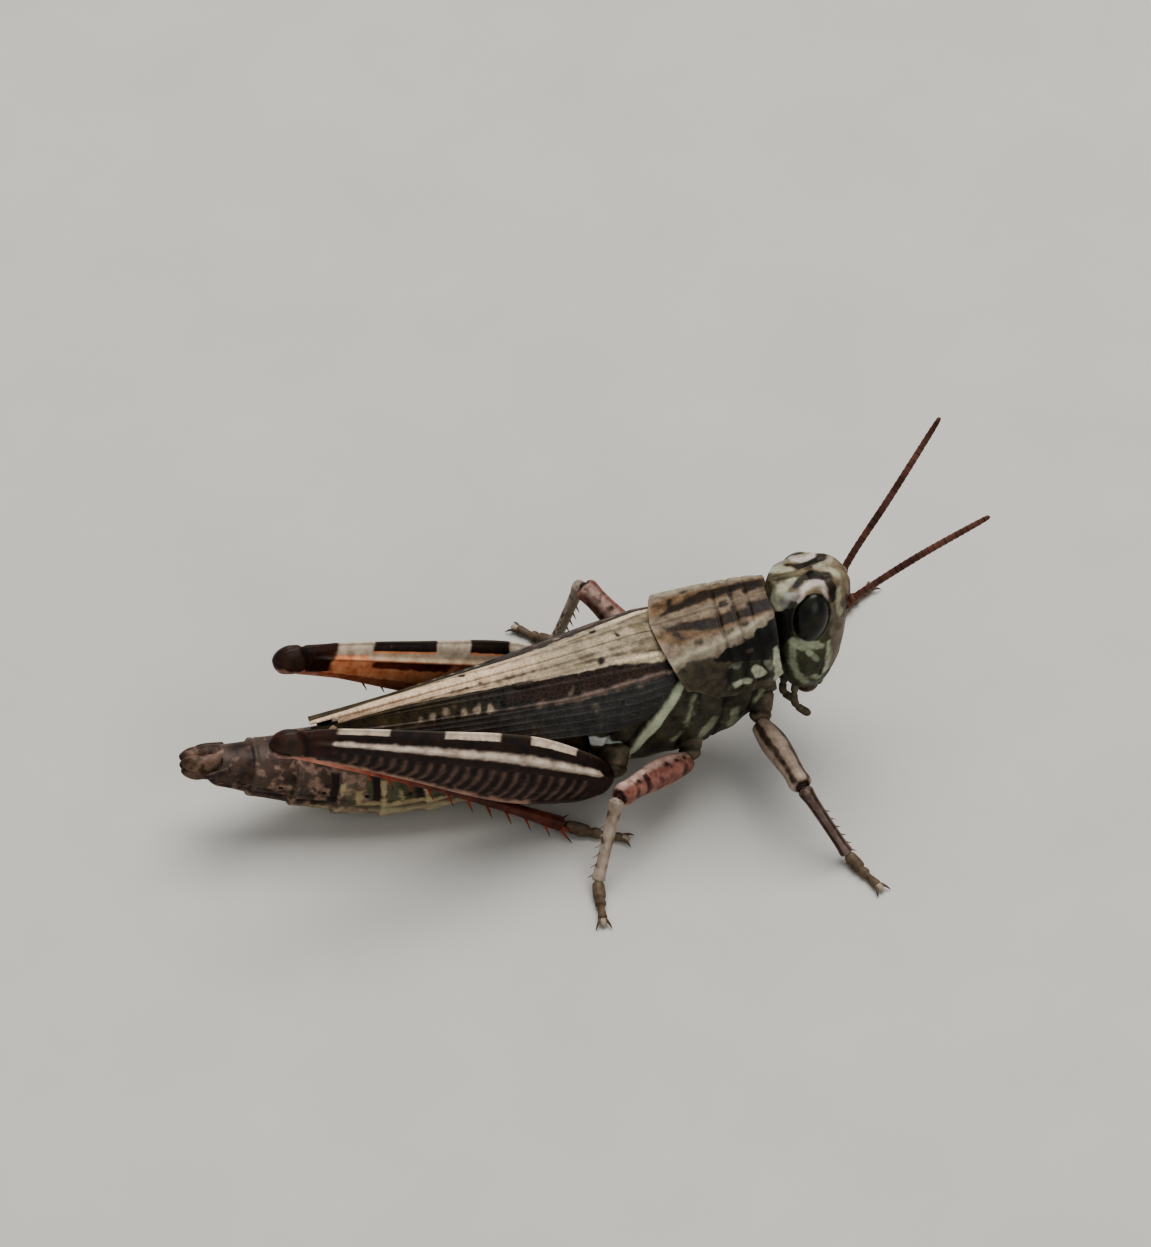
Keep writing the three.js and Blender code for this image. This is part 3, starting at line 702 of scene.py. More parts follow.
# Palp cuticle, thin and soft, olive brown and nearly smooth
palp_cuticle = cuticle("soft_palp_cuticle", ("#443c2c", "#665d48"), 0.4, pits=0.2, roughness=0.5)
for name, side in SIDES:
    jaw_route = [(6.7, 0.85 * side, 4.4), (6.75, 0.75 * side, 3.7), (6.8, 0.4 * side, 3.25)]
    jaw_surface = tube(jaw_route, LEFTWARD, half=0.36, over=0.45, ends=(0.1, 0.4))
    jaw_groove = lambda u, v, p: -0.05 * ridge(p[..., 2] - 3.75, 0.05)
    jaw = cast("jaw_" + name, 40, 32, jaw_surface, jaw_groove, jaw_marks)
    fit(jaw, jaw_horn, "cuticle_face", "mandible_" + name)
    palp_routes = {
        "maxillary": [(6.2, side, 4.3), (6.1, 1.35 * side, 3.3), (6.7, 1.5 * side, 2.6)],
        "labial": [(5.9, 0.45 * side, 4.2), (5.8, 0.55 * side, 3.2), (6.3, 0.6 * side, 2.6)],
    }
    for kind, route in palp_routes.items():
        palp = cast(f"{kind}_feeler_{name}", 18, 70, tube(route, LEFTWARD, palp_girth, palp_girth))
        fit(palp, palp_cuticle, "cuticle_palp", f"{kind}_palp_{name}")

# Saddle: one stiff plate bent over the front of the thorax, hanging free at the sides. It has a
# keel along the middle, a weaker one on each shoulder, three cross grooves and a rolled rim.
SADDLE_REAR, NECK = 1.35, 5.3
SADDLE_WALL = 0.1
CROSS_GROOVES = [(3.15, 1.0), (3.85, 0.8), (4.45, 0.6)]  # place along the saddle and strength
SHOULDER = [  # the line of each shoulder's keel
    *((1.0, 1.93, 7.4), (1.67, 1.76, 7.66), (2.5, 1.7, 7.8), (4.0, 1.42, 8.18)),
    (5.3, 0.95, 8.62),
]
SIDE_TOP = ([1, 1.7, 2.7, 5.3], [7.2, 7.48, 7.55, 8.2])  # how high the dark side reaches

saddle_route = smooth_route([(SADDLE_REAR, 0, 6.3), (3, 0, 6.5), (NECK, 0, 6.75)])
saddle_width = through((0, 2.28), (0.25, 2.2), (0.6, 2.0), (1, 1.86))
saddle_roof = through((0, 1.62), (0.3, 1.76), (0.7, 1.92), (1, 2.0))
saddle_lobe = through((0, 1.5), (0.3, 2.1), (0.7, 2.3), (1, 2.0))
lobe_edge = through((0, 0.24), (0.1, 0.19), (0.3, 0.11), (0.6, 0.095), (0.85, 0.12), (1, 0.17))


def saddle_surface(across, along):
    hem = lobe_edge(along)
    angle = 2 * np.pi * (hem + (1 - 2 * hem) * across)
    side, rise = boxy(np.sin(angle), -np.cos(angle), (0.72, 0.6))
    point, way = saddle_route(along)
    up = unit(np.cross(way, LEFTWARD))
    collar = fade(along - 0.86, 0.14) ** 2
    lift = np.where(rise > 0, saddle_roof(along) * (1 - 0.06 * collar), saddle_lobe(along))
    width = saddle_width(along) * (1 - 0.1 * collar)
    point = point + LEFTWARD * (side * width)[..., None] + up * (rise * lift)[..., None]
    slide = -0.8 * rise * (1 - 0.35 * np.abs(side)) * (1 - along) ** 3
    slide += 0.7 * np.clip(-rise, 0, 1) * (1 - along) ** 2 + 0.14 * collar * np.clip(rise, 0, 1)
    return point + way * slide[..., None]


def saddle_relief(u, v, p):
    x, y, z = p[..., 0], np.abs(p[..., 1]), p[..., 2]
    hind = fade(3.2 - x, 0.3)
    rim = ridge(v - 1, 0.03) + ridge(v, 0.02) + ridge(np.minimum(u, 1 - u), 0.015)
    sweep = 0.12 * np.cos(z * 1.8)
    grooves = sum(depth * ridge(x - place - sweep, 0.07) for place, depth in CROSS_GROOVES)
    swell = 0.05 * np.sin((x - 3.15) * 4.6) ** 2 * (1 - hind) * fade(7.6 - z, 0.8)
    keels = (0.05 + 0.06 * hind) * ridge(y, 0.07) + 0.07 * ridge(gap_to(p, *SHOULDER), 0.12)
    return 0.06 * rim + keels - 0.05 * grooves * fade(z - 5.2, 0.5) + swell


def thicken(piece, wall):
    """Gives a sheet a wall, laid inwards from the side that shows."""
    bpy.context.view_layer.objects.active = piece
    solidify = piece.modifiers.new("wall", "SOLIDIFY")
    solidify.thickness = wall * MM
    solidify.offset = -1
    bpy.ops.object.modifier_apply(modifier=solidify.name)


brown_bars = strokes(
    [(0.9, 0.36, 0.08), (1.35, 0.52, 0.2), (1.9, 0.6, 0.22), (2.8, 0.78, 0.29)],
    [(2.8, 0.78, 0.29), (3.5, 0.73, 0.25), (4.2, 0.74, 0.2), (5.5, 0.6, 0.2)],
    [(3.72, 0.08, 0.05), (3.68, 0.5, 0.1)],
    [(3.3, 0.04, 0.1), (3.5, 0.06, 0.12)],
    [(4.4, 0.4, 0.16), (4.7, 0.5, 0.22)],
    [(4.95, 0.6, 0.28), (5.5, 0.45, 0.2)],
    [(1.3, 0.8, 0.14), (1.42, 1.04, 0.1)],
    view=FROM_ABOVE,
)
# Saddle cuticle, tan and coarsely pitted, with brown bars on top and a black band at each side
saddle_marks = {
    "pale_keel": ("#7a705e", "#9c917b", 0.4, 0.35, lambda u, v, p: edge(
        0.3 - gap_to(p, *SHOULDER), 0.6
    )),
    "orange_tint": ("#4f3820", "#7a5f42", 0.4, 0.5, strokes(
        [(0.7, 0.7, 0.3), (1.4, 0.85, 0.48), (2.1, 0.78, 0.42), (2.9, 0.8, 0.4)],
        [(2.9, 0.8, 0.4), (4.0, 0.7, 0.36), (5.5, 0.6, 0.4)],
        view=FROM_ABOVE,
    )),
    "tan_front": ("#5d4c3c", "#7e6a56", 0.4, 0.35, strokes(
        [(3.95, 0.3, 0.24), (4.6, 0.12, 0.26), (5.2, 0.2, 0.2)], view=FROM_ABOVE
    )),
    "side": ("#352f25", "#544b3a", 0.3, 0.2, lambda u, v, p: edge(
        np.interp(p[..., 0], *SIDE_TOP) - p[..., 2]
    )),
    "brown_bars": ("#140b02", "#2c1a05", 0.22, 0.25, lambda u, v, p: brown_bars(u, v, p) * (
        p[..., 2] > 7.5
    )),
    "dark_lobe": ("#14150c", "#28291b", 0.5, 0.25, strokes(
        [(3.0, 6.75, 0.1), (3.35, 6.5, 0.36), (3.6, 6.0, 0.45), (3.5, 5.45, 0.2)],
        [(3.94, 6.6, 0.4), (4.4, 6.2, 0.6), (5.3, 6.3, 0.6)],
        view=SIDE_ON,
    )),
    "black_band": ("#070705", "#17150e", 0.4, 0.12, strokes(
        [(2.65, 7.45, 0.06), (3.3, 7.45, 0.33), (4.03, 7.5, 0.5), (4.75, 7.58, 0.68)],
        [(4.75, 7.58, 0.68), (5.5, 7.85, 0.6)],
        view=SIDE_ON,
    )),
    "dull_spots": ("#5c5e50", "#74766a", 0.3, 0.2, strokes(
        [(3.3, 6.9, 0.12), (3.5, 6.84, 0.12)], [(4.8, 6.6, 0.2), (4.95, 6.3, 0.2)], view=SIDE_ON
    )),
    "pale_spots": ("#92957d", "#b9b9a2", 0.25, 0.18, strokes(
        [(4.28, 6.5, 0.2), (4.5, 6.12, 0.27)],
        [(3.48, 5.85, 0.18), (3.95, 5.82, 0.2)],
        [(5.15, 7.25, 0.09), (5.18, 6.8, 0.14), (5.25, 6.29, 0.16), (5.3, 5.4, 0.17)],
        view=SIDE_ON,
    )),
    "brown_spot": ("#46382f", "#5e4d42", 0.3, 0.15, strokes(
        [(4.0, 7.47, 0.1), (4.15, 7.5, 0.08)], view=SIDE_ON
    )),
    "olive_flecks": ("#3b3423", "#554c38", 0.3, 0.25, strokes(
        [(1.98, 1.4, 0.12), (2.12, 1.42, 0.1)],
        [(3.95, 1.18, 0.09), (4.05, 1.2, 0.08)],
        [(3.3, 1.3, 0.07), (3.45, 1.28, 0.06)],
        view=FROM_ABOVE,
    )),
}
saddle_cuticle = cuticle(
    "pitted_saddle_cuticle", ("#665746", "#8b7a66"), 0.35, saddle_marks, pit_mm=0.2, pits=0.55
)
saddle = cast("saddle", 240, 150, saddle_surface, saddle_relief, saddle_marks, closed=False)
thicken(saddle, SADDLE_WALL)
fit(saddle, saddle_cuticle, "cuticle_saddle", "pronotum")

# Thorax: the hard box that carries the wings and legs, made of side plates that meet in sunk
# seams. A raised pale green bar runs down each side under the root of the wing cover.
WAIST = -2.6
PALE_BAR = [(1.5, 6.5, 0.1), (1.0, 5.95, 0.19), (0.1, 4.5, 0.25), (-0.95, 2.8, 0.15)]
SIDE_SEAMS = [
    [(4.3, 4.8), (4.0, 3.2)],
    [(3.15, 5.4), (2.9, 4.0), (2.5, 2.2)],
    [(1.95, 5.6), (1.5, 4.0), (0.9, 2.3)],
    [(0.75, 6.2), (-0.35, 4.5), (-1.4, 2.9)],
    [(-1.2, 5.4), (-1.9, 3.6), (-2.1, 2.2)],
]


def thorax_relief(u, v, p):
    seams = sum(ridge(gap_to(p, *seam, view=SIDE_ON), 0.07) for seam in SIDE_SEAMS)
    bar = edge(within(p, PALE_BAR, SIDE_ON), 0.1)
    belly_seam = ridge(np.abs(p[..., 1]) - 1.25, 0.07) * (p[..., 2] < 2.2)
    swell = 0.06 * np.sin(p[..., 0] * 2.4 + p[..., 2]) ** 2
    return swell - 0.1 * seams * (p[..., 2] > 1.9) + 0.09 * bar - 0.08 * belly_seam


thorax_surface = tube(
    [(WAIST, 0, 4.1), (1, 0, 4.6), (5.2, 0, 5.2)],
    LEFTWARD,
    half=through((0, 2.1), (0.4, 2.25), (0.75, 1.95), (1, 1.35)),
    over=through((0, 1.7), (0.5, 2.3), (1, 2.6)),
    under=through((0, 3.0), (0.35, 3.1), (0.7, 2.8), (1, 1.5)),
    square=(0.7, 0.7),
)
# Thorax cuticle, dark olive with greyer plates, white blots by the hind legs and a straw belly
thorax_marks = {
    "under": ("#7b7458", "#99916f", 0.3, 0.4, below(2.1, 0.8)),
    "grey_plates": ("#5b5c49", "#87886f", 0.4, 0.25, strokes(
        [(1.75, 5.5, 0.12), (1.6, 4.7, 0.2), (1.4, 4.0, 0.12)],
        [(2.6, 4.0, 0.14), (2.3, 3.4, 0.24), (2.0, 3.0, 0.1)],
        [(3.5, 4.1, 0.16), (3.35, 3.3, 0.22)],
        [(1.2, 3.45, 0.12), (0.9, 3.25, 0.15)],
        [(4.6, 4.6, 0.15), (4.5, 3.9, 0.2)],
        view=SIDE_ON,
    )),
    "white_blots": ("#b9bdb4", "#dfe0d6", 0.25, 0.2, strokes(
        [(-1.35, 3.3, 0.2), (-1.7, 3.5, 0.18)],
        [(-1.95, 3.7, 0.24), (-2.5, 3.95, 0.22)],
        [(-1.05, 2.45, 0.18), (-1.3, 2.7, 0.14)],
        view=SIDE_ON,
    )),
    "pale_bar": ("#9aa384", "#b9bea2", 0.15, 0.2, strokes(PALE_BAR, view=SIDE_ON)),
}
thorax_cuticle = cuticle(
    "olive_thorax_cuticle", ("#17150e", "#3f3a2b"), 0.5, thorax_marks, pit_mm=0.2, pits=0.45
)
thorax = cast("thorax_plates", 170, 150, thorax_surface, thorax_relief, thorax_marks)
fit(thorax, thorax_cuticle, "cuticle_thorax", "thorax")

# Leg roots: short stout cones of the same cuticle, one at each hip, each set in the side of the
# thorax and rounded where the leg turns on it.
LEGS = {  # hip, knee, ankle and tip of the foot
    "foreleg_left": [(4.5, 2.0, 3.1), (7.5, 4.6, 3.5), (9.5, 5.7, 0.45), (11.3, 6.9, 0.2)],
    "foreleg_right": [(4.5, -2.0, 3.1), (5.4, -5.9, 3.3), (6.95, -7.3, 0.45), (7.9, -9.15, 0.2)],
    "midleg_left": [(1.5, 2.4, 2.4), (-1.3, 5.4, 4.9), (-2.2, 6.4, 0.45), (-3.6, 7.8, 0.2)],
    "midleg_right": [(1.5, -2.4, 2.0), (-2.0, -4.8, 3.25), (-3.2, -6.6, 0.45), (-3.4, -8.6, 0.2)],
    "hindleg_left": [(-1.4, 2.95, 1.8), (-14.6, 2.35, 6.75), (-3.9, 3.3, 0.5), (-1.5, 4.3, 0.2)],
    "hindleg_right": [(-1.8, -2.95, 2.35), (-15.8, -3, 7.9), (-3.9, -3.4, 0.5), (-1.5, -4.4, 0.2)],
}
LEGS = {leg: [np.array(stop, float) for stop in stops] for leg, stops in LEGS.items()}


def limb(start, end, girth, flat, depth=None, ends=None, bow=0.0):
    """A leg length between two joints. girth is measured towards flat, and across it too unless
    there is a depth, and bow lifts the middle."""
    way = unit(end - start)
    across = unit(flat - way * np.dot(flat, way))
    middle = (start + end) / 2 + np.cross(way, across) * bow
    return tube([start, middle, end], across, girth, depth or girth, square=(0.9, 0.9), ends=ends)


def hip_relief(u, v, p):
    return -0.06 * ridge(v - 0.62, 0.035) + 0.03 * np.sin(6 * np.pi * u) * (v < 0.6)


# Leg root cuticle, drab brown and dull, paler below
coxa_marks = {
    "under": ("#4f4433", "#6b5d47", 0.4, 0.3, lambda u, v, p: 0.5 + 0.25 * np.sin(2 * np.pi * u))
}
coxa_cuticle = cuticle(
    "brown_leg_root_cuticle", ("#2a2318", "#4d4333"), 0.4, coxa_marks, pits=0.4
)
for leg, (hip, *_) in LEGS.items():
    size = 0.7 if "hind" in leg else 0.56
    root = np.array([hip[0] + 0.3, hip[1] - 1.1 * np.sign(hip[1]), hip[2] + 0.9])
    girth = lambda t, size=size: size * (1 - 0.2 * t)
    cone = limb(root, hip, girth, FORWARD, ends=(0.2, 0.3))
    coxa = cast(leg + "_root", 48, 44, cone, hip_relief, coxa_marks)
    fit(coxa, coxa_cuticle, "cuticle_thorax", leg + "_coxa")

# Wing covers: two narrow leathery fore wings folded over the back, the left edge laid on the
# right. A crisp fold parts the pale field on top from the dark veined field at the side.
WING_ROOT, WING_ROOT_SLOPE, WING_TIP = 1.3, 1.7, -13.6
WING_LENGTH, WING_BREADTH = WING_ROOT - WING_TIP, 4.4
FOLD = 1 / 3  # how far across the cover the fold lies
WING_WALL = 0.12
WING_STAND = 0.4  # how far the outer face stands from the line that the wing is drawn on
VEINS = [  # where each long vein lies across the cover, at the root and at the tip, and height
    *((0.05, 0.1, 0.01), (0.12, 0.17, 0.014), (0.2, 0.22, 0.01), (0.27, 0.28, 0.014)),
    *((0.41, 0.4, 0.03), (0.56, 0.68, 0.03), (0.63, 0.74, 0.025), (0.71, 0.8, 0.03)),
    *((0.8, 0.87, 0.025), (0.89, 0.94, 0.025)),
]
SPECK_WIDTH = 0.6  # a speck's length over its width
PALE_SPECKS = [  # along and across the cover, and half length in mm
    *((0.514, 0.525, 0.12), (0.546, 0.528, 0.13), (0.584, 0.515, 0.1), (0.633, 0.508, 0.12)),
    *((0.671, 0.518, 0.1), (0.7, 0.512, 0.08), (0.289, 0.488, 0.08), (0.296, 0.494, 0.04)),
    (0.02, 0.478, 0.1),
]
DARK_SPECKS = [
    *((0.477, 0.515, 0.18), (0.573, 0.154, 0.09), (0.536, 0.137, 0.07), (0.205, 0.251, 0.1)),
    *((0.149, 0.04, 0.09), (0.023, 0.41, 0.2), (0.0, 0.5, 0.2), (0.53, 0.56, 0.09)),
    *((0.6, 0.56, 0.09), (0.65, 0.56, 0.08)),
]

wing_ridge = through((0, 7.5), (0.1, 7.3), (0.35, 6.6), (0.65, 5.98), (0.9, 5.42), (1, 5.2))
wing_shoulder = through((0, 1.1), (0.22, 0.8), (0.41, 0.55), (0.65, 0.3), (0.85, 0.14), (1, 0.07))
wing_drop = through((0, 0.2), (0.1, 0.3), (0.5, 0.25), (1, 0.06))
wing_hem = through((0, 5.3), (0.1, 4.9), (0.35, 4.5), (0.65, 4.2), (0.9, 4.35), (1, 4.8))
wing_spread = through((0, 2.2), (0.15, 2.35), (0.4, 1.95), (0.7, 1.3), (0.9, 0.7), (1, 0.25))
pale_edge = through(
    *((0, 0.4), (0.08, 0.375), (0.16, 0.342), (0.3, 0.325), (0.5, 0.28), (0.65, 0.24)),
    *((0.85, 0.14), (1, 0.07)),
)
main_vein = through((0, 0.5), (0.1, 0.508), (0.2, 0.54), (0.3, 0.565), (0.6, 0.57), (1, 0.6))


def wing_line(across, along, middle):
    """The line that the left cover is drawn on, before it is given its height."""
    down = fade(across - FOLD, 1 - FOLD)
    out = fade(across, FOLD)
    start = WING_ROOT - WING_ROOT_SLOPE * down**2
    shoulder, top = wing_shoulder(along), wing_ridge(along) - wing_drop(along) * out**2
    bulge = 0.35 * np.sin(np.pi * down) * (1 - along)
    y = middle + (shoulder - middle) * out + (wing_spread(along) - shoulder) * down + bulge
    z = top + (wing_hem(along) - top) * down
    tip = 1.3 * fade(along - 0.88, 0.12) ** 2 * down**1.5
    return np.stack([start + (WING_TIP - start) * along + tip, y, z], -1)


def wing_surface(side):
    middle, lift = (-0.18, 0.05) if side > 0 else (0.1, 0.0)

    def surface(across, along):
        line = wing_line(across, along, middle)
        crosswise, lengthwise = np.gradient(line, axis=1), np.gradient(line, axis=0)
        outward = unit(np.cross(crosswise, lengthwise))
        tuck = 0.16 * fade(line[..., 0] - 0.1, 1.0)
        stand = WING_STAND - tuck - 0.15 * along + lift * np.clip(1 - across / FOLD, 0, 1)
        return (line + outward * stand[..., None]) * [1, side, 1]

    return surface


def wing_relief(u, v, p):
    height = sum(tall * ridge(u - (root + (tip - root) * v), 0.011) for root, tip, tall in VEINS)
    height += 0.05 * ridge(u - main_vein(v), 0.013) + 0.05 * ridge(u - FOLD, 0.014)
    height += 0.03 * (ridge(u, 0.012) + ridge(u - 1, 0.012))
    return height * fade(v, 0.04)


def specks(spots):
    """A mark of round spots on the cover."""

    def pattern(u, v, p):
        inside = np.full(u.shape, OUTSIDE)
        for along, across, size in spots:
            gap = np.hypot((v - along) * WING_LENGTH, (u - across) * WING_BREADTH * SPECK_WIDTH)
            inside = np.maximum(inside, size - gap)
        return edge(inside)

    return pattern


def below_edge(u, v):
    """How far below the pale field a point lies, in mm."""
    return (u - pale_edge(v)) * WING_BREADTH


def grey_streak(u, v, p):
    by_edge = 0.06 - np.abs(below_edge(u, v) + 0.3 + 0.2 * fade(v, 0.1))
    on_top = 0.04 - np.abs(u - 0.12 - 0.1 * v) * 3
    return np.maximum(edge(by_edge) * fade(0.36 - v, 0.1), edge(on_top))


# Wing cuticle, thin and leathery, dark grey with a red-brown band under a field of dry straw
wing_marks = {
    "olive_rear": ("#221b0e", "#463a20", 0.3, 0.5, lambda u, v, p: fade(v - 0.4, 0.3) * fade(
        0.72 - u, 0.2
    )),
    "red_band": ("#20120c", "#38241a", 0.4, 0.3, lambda u, v, p: edge(
        np.minimum(below_edge(u, v), (main_vein(v) - 0.02 - u) * WING_BREADTH)
    ) * fade(0.6 - v, 0.25)),
    "rose_vein": ("#5a4840", "#786358", 0.4, 0.25, lambda u, v, p: edge(
        0.1 * fade(0.46 - v, 0.16) - np.abs(u - main_vein(v)) * WING_BREADTH
    )),
    "pale_top": ("#95866f", "#b9a78b", 0.2, 0.14, lambda u, v, p: edge(-below_edge(u, v))),
    "peach_rear": ("#c9ab8c", "#ecd0b0", 0.2, 0.45, lambda u, v, p: edge(
        -(below_edge(u, v) + 0.08)
    ) * fade(v - 0.25, 0.3)),
    "root_shade": ("#76684f", "#98886d", 0.4, 0.4, lambda u, v, p: edge(
        -(below_edge(u, v) + 0.1)
    ) * np.clip((0.16 - v) / 0.12, 0, 0.75)),
    "grey_streak": ("#453a2c", "#685a44", 0.4, 0.4, grey_streak),
    "bright_edge": ("#c0ac8d", "#e0cdac", 0.15, 0.25, lambda u, v, p: edge(
        0.16 - np.abs(below_edge(u, v) + 0.17)
    ) * fade(0.28 - v, 0.15)),
    "specks": ("#7d7160", "#a3937c", 0.4, 0.2, specks(PALE_SPECKS)),
    "dark_specks": ("#0b0806", "#1c150e", 0.4, 0.2, specks(DARK_SPECKS)),
}
wing_cuticle = cuticle(
    "leathery_wing_cover",
    ("#1f1d1a", "#363432"),
    0.5,
    wing_marks,
    net=("#4c4740", (26.0, 62.0, 1.0)),
    pit_mm=0.12,
    pits=0.3,
    roughness=0.5,
)
for name, side in SIDES:
    sheet = wing_surface(side)
    cover = cast("wing_cover_" + name, 110, 230, sheet, wing_relief, wing_marks, closed=False)
    thicken(cover, WING_WALL)
    fit(cover, wing_cuticle, "wing_cover", "forewing_" + name)

# Abdomen: nine rings, each a back plate and a belly plate of hard cuticle joined by a soft fold
# along the side. The hind rim of every ring laps over the next, and each has a breathing hole.
ABDOMEN_RINGS = 9
HOLE_ON_RING, HOLE_ROUND = 0.3, 0.255  # how far along its ring and round from the back it lies
RING_LENGTH, ROUND_LENGTH = 1.7, 13  # mm along a ring, and round the abdomen
REARWARD_ACROSS = -LEFTWARD  # for a route that runs to the rear, so that its upper side is up


def rest_on_floor(surface):
    """The same surface, pressed flat where it touches the floor."""

    def rested(around, along):
        points = surface(around, along)
        points[..., 2] = np.maximum(points[..., 2], 0)
        return points

    return rested


def ring_place(v):
    """How far along its ring a point lies, from 0 to 1."""
    return np.mod(how_far(v) * ABDOMEN_RINGS, 1)


def from_hole(u, v):
    """Distance in mm from the nearest breathing hole."""
    along = (ring_place(v) - HOLE_ON_RING) * RING_LENGTH
    return np.hypot(along, (np.abs(u - 0.5) - HOLE_ROUND) * ROUND_LENGTH)


def abdomen_relief(u, v, p):
    ring, round_side = ring_place(v), np.abs(u - 0.5)
    rim = np.clip(ring / 0.93, 0, 1) ** 2 * fade(1 - ring, 0.05)
    fold = ridge(round_side - 0.315, 0.012) + 0.4 * ridge(round_side - 0.275, 0.008)
    keel = ridge(round_side, 0.014) * fade(p[..., 0] + 15, 2)
    ripple = ridge(ring - 0.84, 0.03) * (round_side < 0.3)
    hole = ridge(from_hole(u, v), 0.1)
    raised = 0.12 * rim - 0.13 * fold - 0.09 * hole + 0.07 * keel - 0.03 * ripple
    return raised * fade(p[..., 2], 0.3)


def on_rings(p, v, start, end, low, high):
    """A block on every ring, between two places along it and two heights."""
    ring = ring_place(v)
    inside = np.minimum(np.minimum(ring - start, end - ring) * RING_LENGTH, p[..., 2] - low)
    return edge(np.minimum(inside, high - p[..., 2]))


def rear_part(p, start, length):
    return fade(start - p[..., 0], length)


def cell_rim(u, v, p):
    line = edge(0.15 - np.abs(p[..., 2] - 1.85))
    ends = on_rings(p, v, 0.84, 0.99, 1.8, 3.2), on_rings(p, v, 0.44, 0.53, 1.9, 2.7)
    return np.maximum.reduce([*ends, line]) * (1 - 0.6 * rear_part(p, -11.8, 1.5))


def rear_spot(u, v, p):
    patches = np.clip(0.42 + 0.22 * np.sin(p[..., 0] * 4.1 + p[..., 2] * 2.3), 0, 1)
    rear = rear_part(p, -10.5, 1.2) * (1 - 0.35 * rear_part(p, -14.2, 1.2))
    return rear * patches * fade(4.6 - p[..., 2], 0.8)


abdomen_surface = tube(
    [(-2.66, 0, 3.75), (-7, 0, 2.75), (-11, 0, 2.4), (-14.2, 0, 2.85), (-17.9, 0, 3.75)],
    REARWARD_ACROSS,
    half=through((0, 2.1), (0.3, 2.2), (0.55, 1.95), (0.8, 1.25), (1, 0.7)),
    over=through((0, 2.0), (0.3, 2.25), (0.55, 1.9), (0.8, 1.2), (1, 0.6)),
    under=through((0, 2.2), (0.3, 2.35), (0.55, 2.2), (0.8, 1.4), (1, 0.55)),
    square=(0.95, 0.85),
    ends=(0.01, 0.035),
)
# Abdomen cuticle, brown and mottled, with olive cells framed in straw along the side
abdomen_marks = {
    "belly": ("#84765d", "#a39577", 0.3, 0.3, below(1.75, 0.5)),
    "cell": ("#34341f", "#4f4d36", 0.4, 0.2, lambda u, v, p: on_rings(
        p, v, 0.14, 0.86, 1.95, 3.3
    ) * (1 - rear_part(p, -12, 1.5))),
    "rear_spot": ("#5a4033", "#8d7262", 0.8, 0.2, rear_spot),
    "dark_bar": ("#130b08", "#22150f", 0.35, 0.18, lambda u, v, p: on_rings(
        p, v, -0.05, 0.17, 1.9, 3.5
    ) * (1 - rear_part(p, -13, 2))),
    "cell_rim": ("#837352", "#a4936f", 0.4, 0.18, cell_rim),
    "breathing_hole": ("#0e0906", "#1a110c", 0.2, 0.2, lambda u, v, p: np.clip(
        1.1 - from_hole(u, v) / 0.16, 0, 1
    )),
}
abdomen_cuticle = cuticle(
    "mottled_abdomen_cuticle",
    ("#241611", "#4a352b"),
    0.45,
    abdomen_marks,
    pit_mm=0.12,
    pits=0.4,
    roughness=0.44,
)
rings = rest_on_floor(abdomen_surface)
abdomen = cast("abdomen_rings", 180, 380, rings, abdomen_relief, abdomen_marks)
fit(abdomen, abdomen_cuticle, "cuticle_abdomen", "abdomen")

# Tail: two pairs of short egg-laying valves, dark horn with hooked tips that dig the soil, and a
# small soft cone at each side above them.
# Tail horn, hard dark brown cuticle with black tips, mottled as the last rings are
tail_marks = {
    "mottle": ("#5a4033", "#7f6656", 0.8, 0.25, 0.42),
    "tip": ("#140c07", "#2a1c12", 0.4, 0.3, lambda u, v, p: np.clip((v - 0.68) * 2.4, 0, 1)),
}
tail_horn = cuticle("dark_tail_horn", ("#2c1d15", "#54402f"), 0.35, tail_marks, roughness=0.5)


def valve_relief(u, v, p):
    return 0.03 * ridge(np.mod(u * 2, 1) - 0.5, 0.08) - 0.03 * ridge(v - 0.5, 0.05)


for level, rise in (("upper", 1), ("lower", -1)):
    valves = []
    for side in (1, -1):
        route = [
            (-17.2, 0.26 * side, 3.8 + 0.27 * rise),
            (-18.3, 0.23 * side, 3.95 + 0.25 * rise),
            (-18.92, 0.13 * side, 4.03 + 0.24 * rise),
        ]
        hook = tube(
            route,
            REARWARD_ACROSS,
            half=lambda t: 0.34 * dome(t, 0.1, 0.4),
            over=lambda t: 0.35 * dome(t, 0.1, 0.42),
        )
        valves.append(cast(f"valve_{level}_{side}", 30, 46, hook, valve_relief, tail_marks))
    fit(join(valves, "egg_valve_" + level), tail_horn, "cuticle_abdomen", "ovipositor_" + level)
for name, side in SIDES:
    route = [(-17.0, 0.62 * side, 3.95), (-17.6, 0.76 * side, 3.98), (-18.15, 0.84 * side, 4.0)]
    girth = lambda t: 0.2 * (1 - 0.6 * t)
    surface = tube(route, REARWARD_ACROSS, girth, girth, ends=(0.1, 0.3))
    cone = cast("tail_cone_" + name, 22, 30, surface)
    fit(cone, abdomen_cuticle, "cuticle_abdomen", "cercus_" + name)

# Jumping thighs: long clubs of hard cuticle, flat on the outer side, with pale keels above and
# below a field of herringbone ridges where the muscles are fixed, and two lobes at the knee.
THIGH_LENGTH, HERRINGBONE = 14.3, 0.5  # mm, and from one ridge to the next
PALE_STRETCHES = {  # along the back of each thigh
    "left": [(0.15, 0.292), (0.414, 0.522), (0.72, 0.83)],
    "right": [(0.15, 0.295), (0.385, 0.54), (0.69, 0.85)],
}
THIGH_LIFT = {"left": -0.4, "right": 0.1}
STRIPE_EDGE = 8  # degrees over which a stripe's number runs from 0 to 1

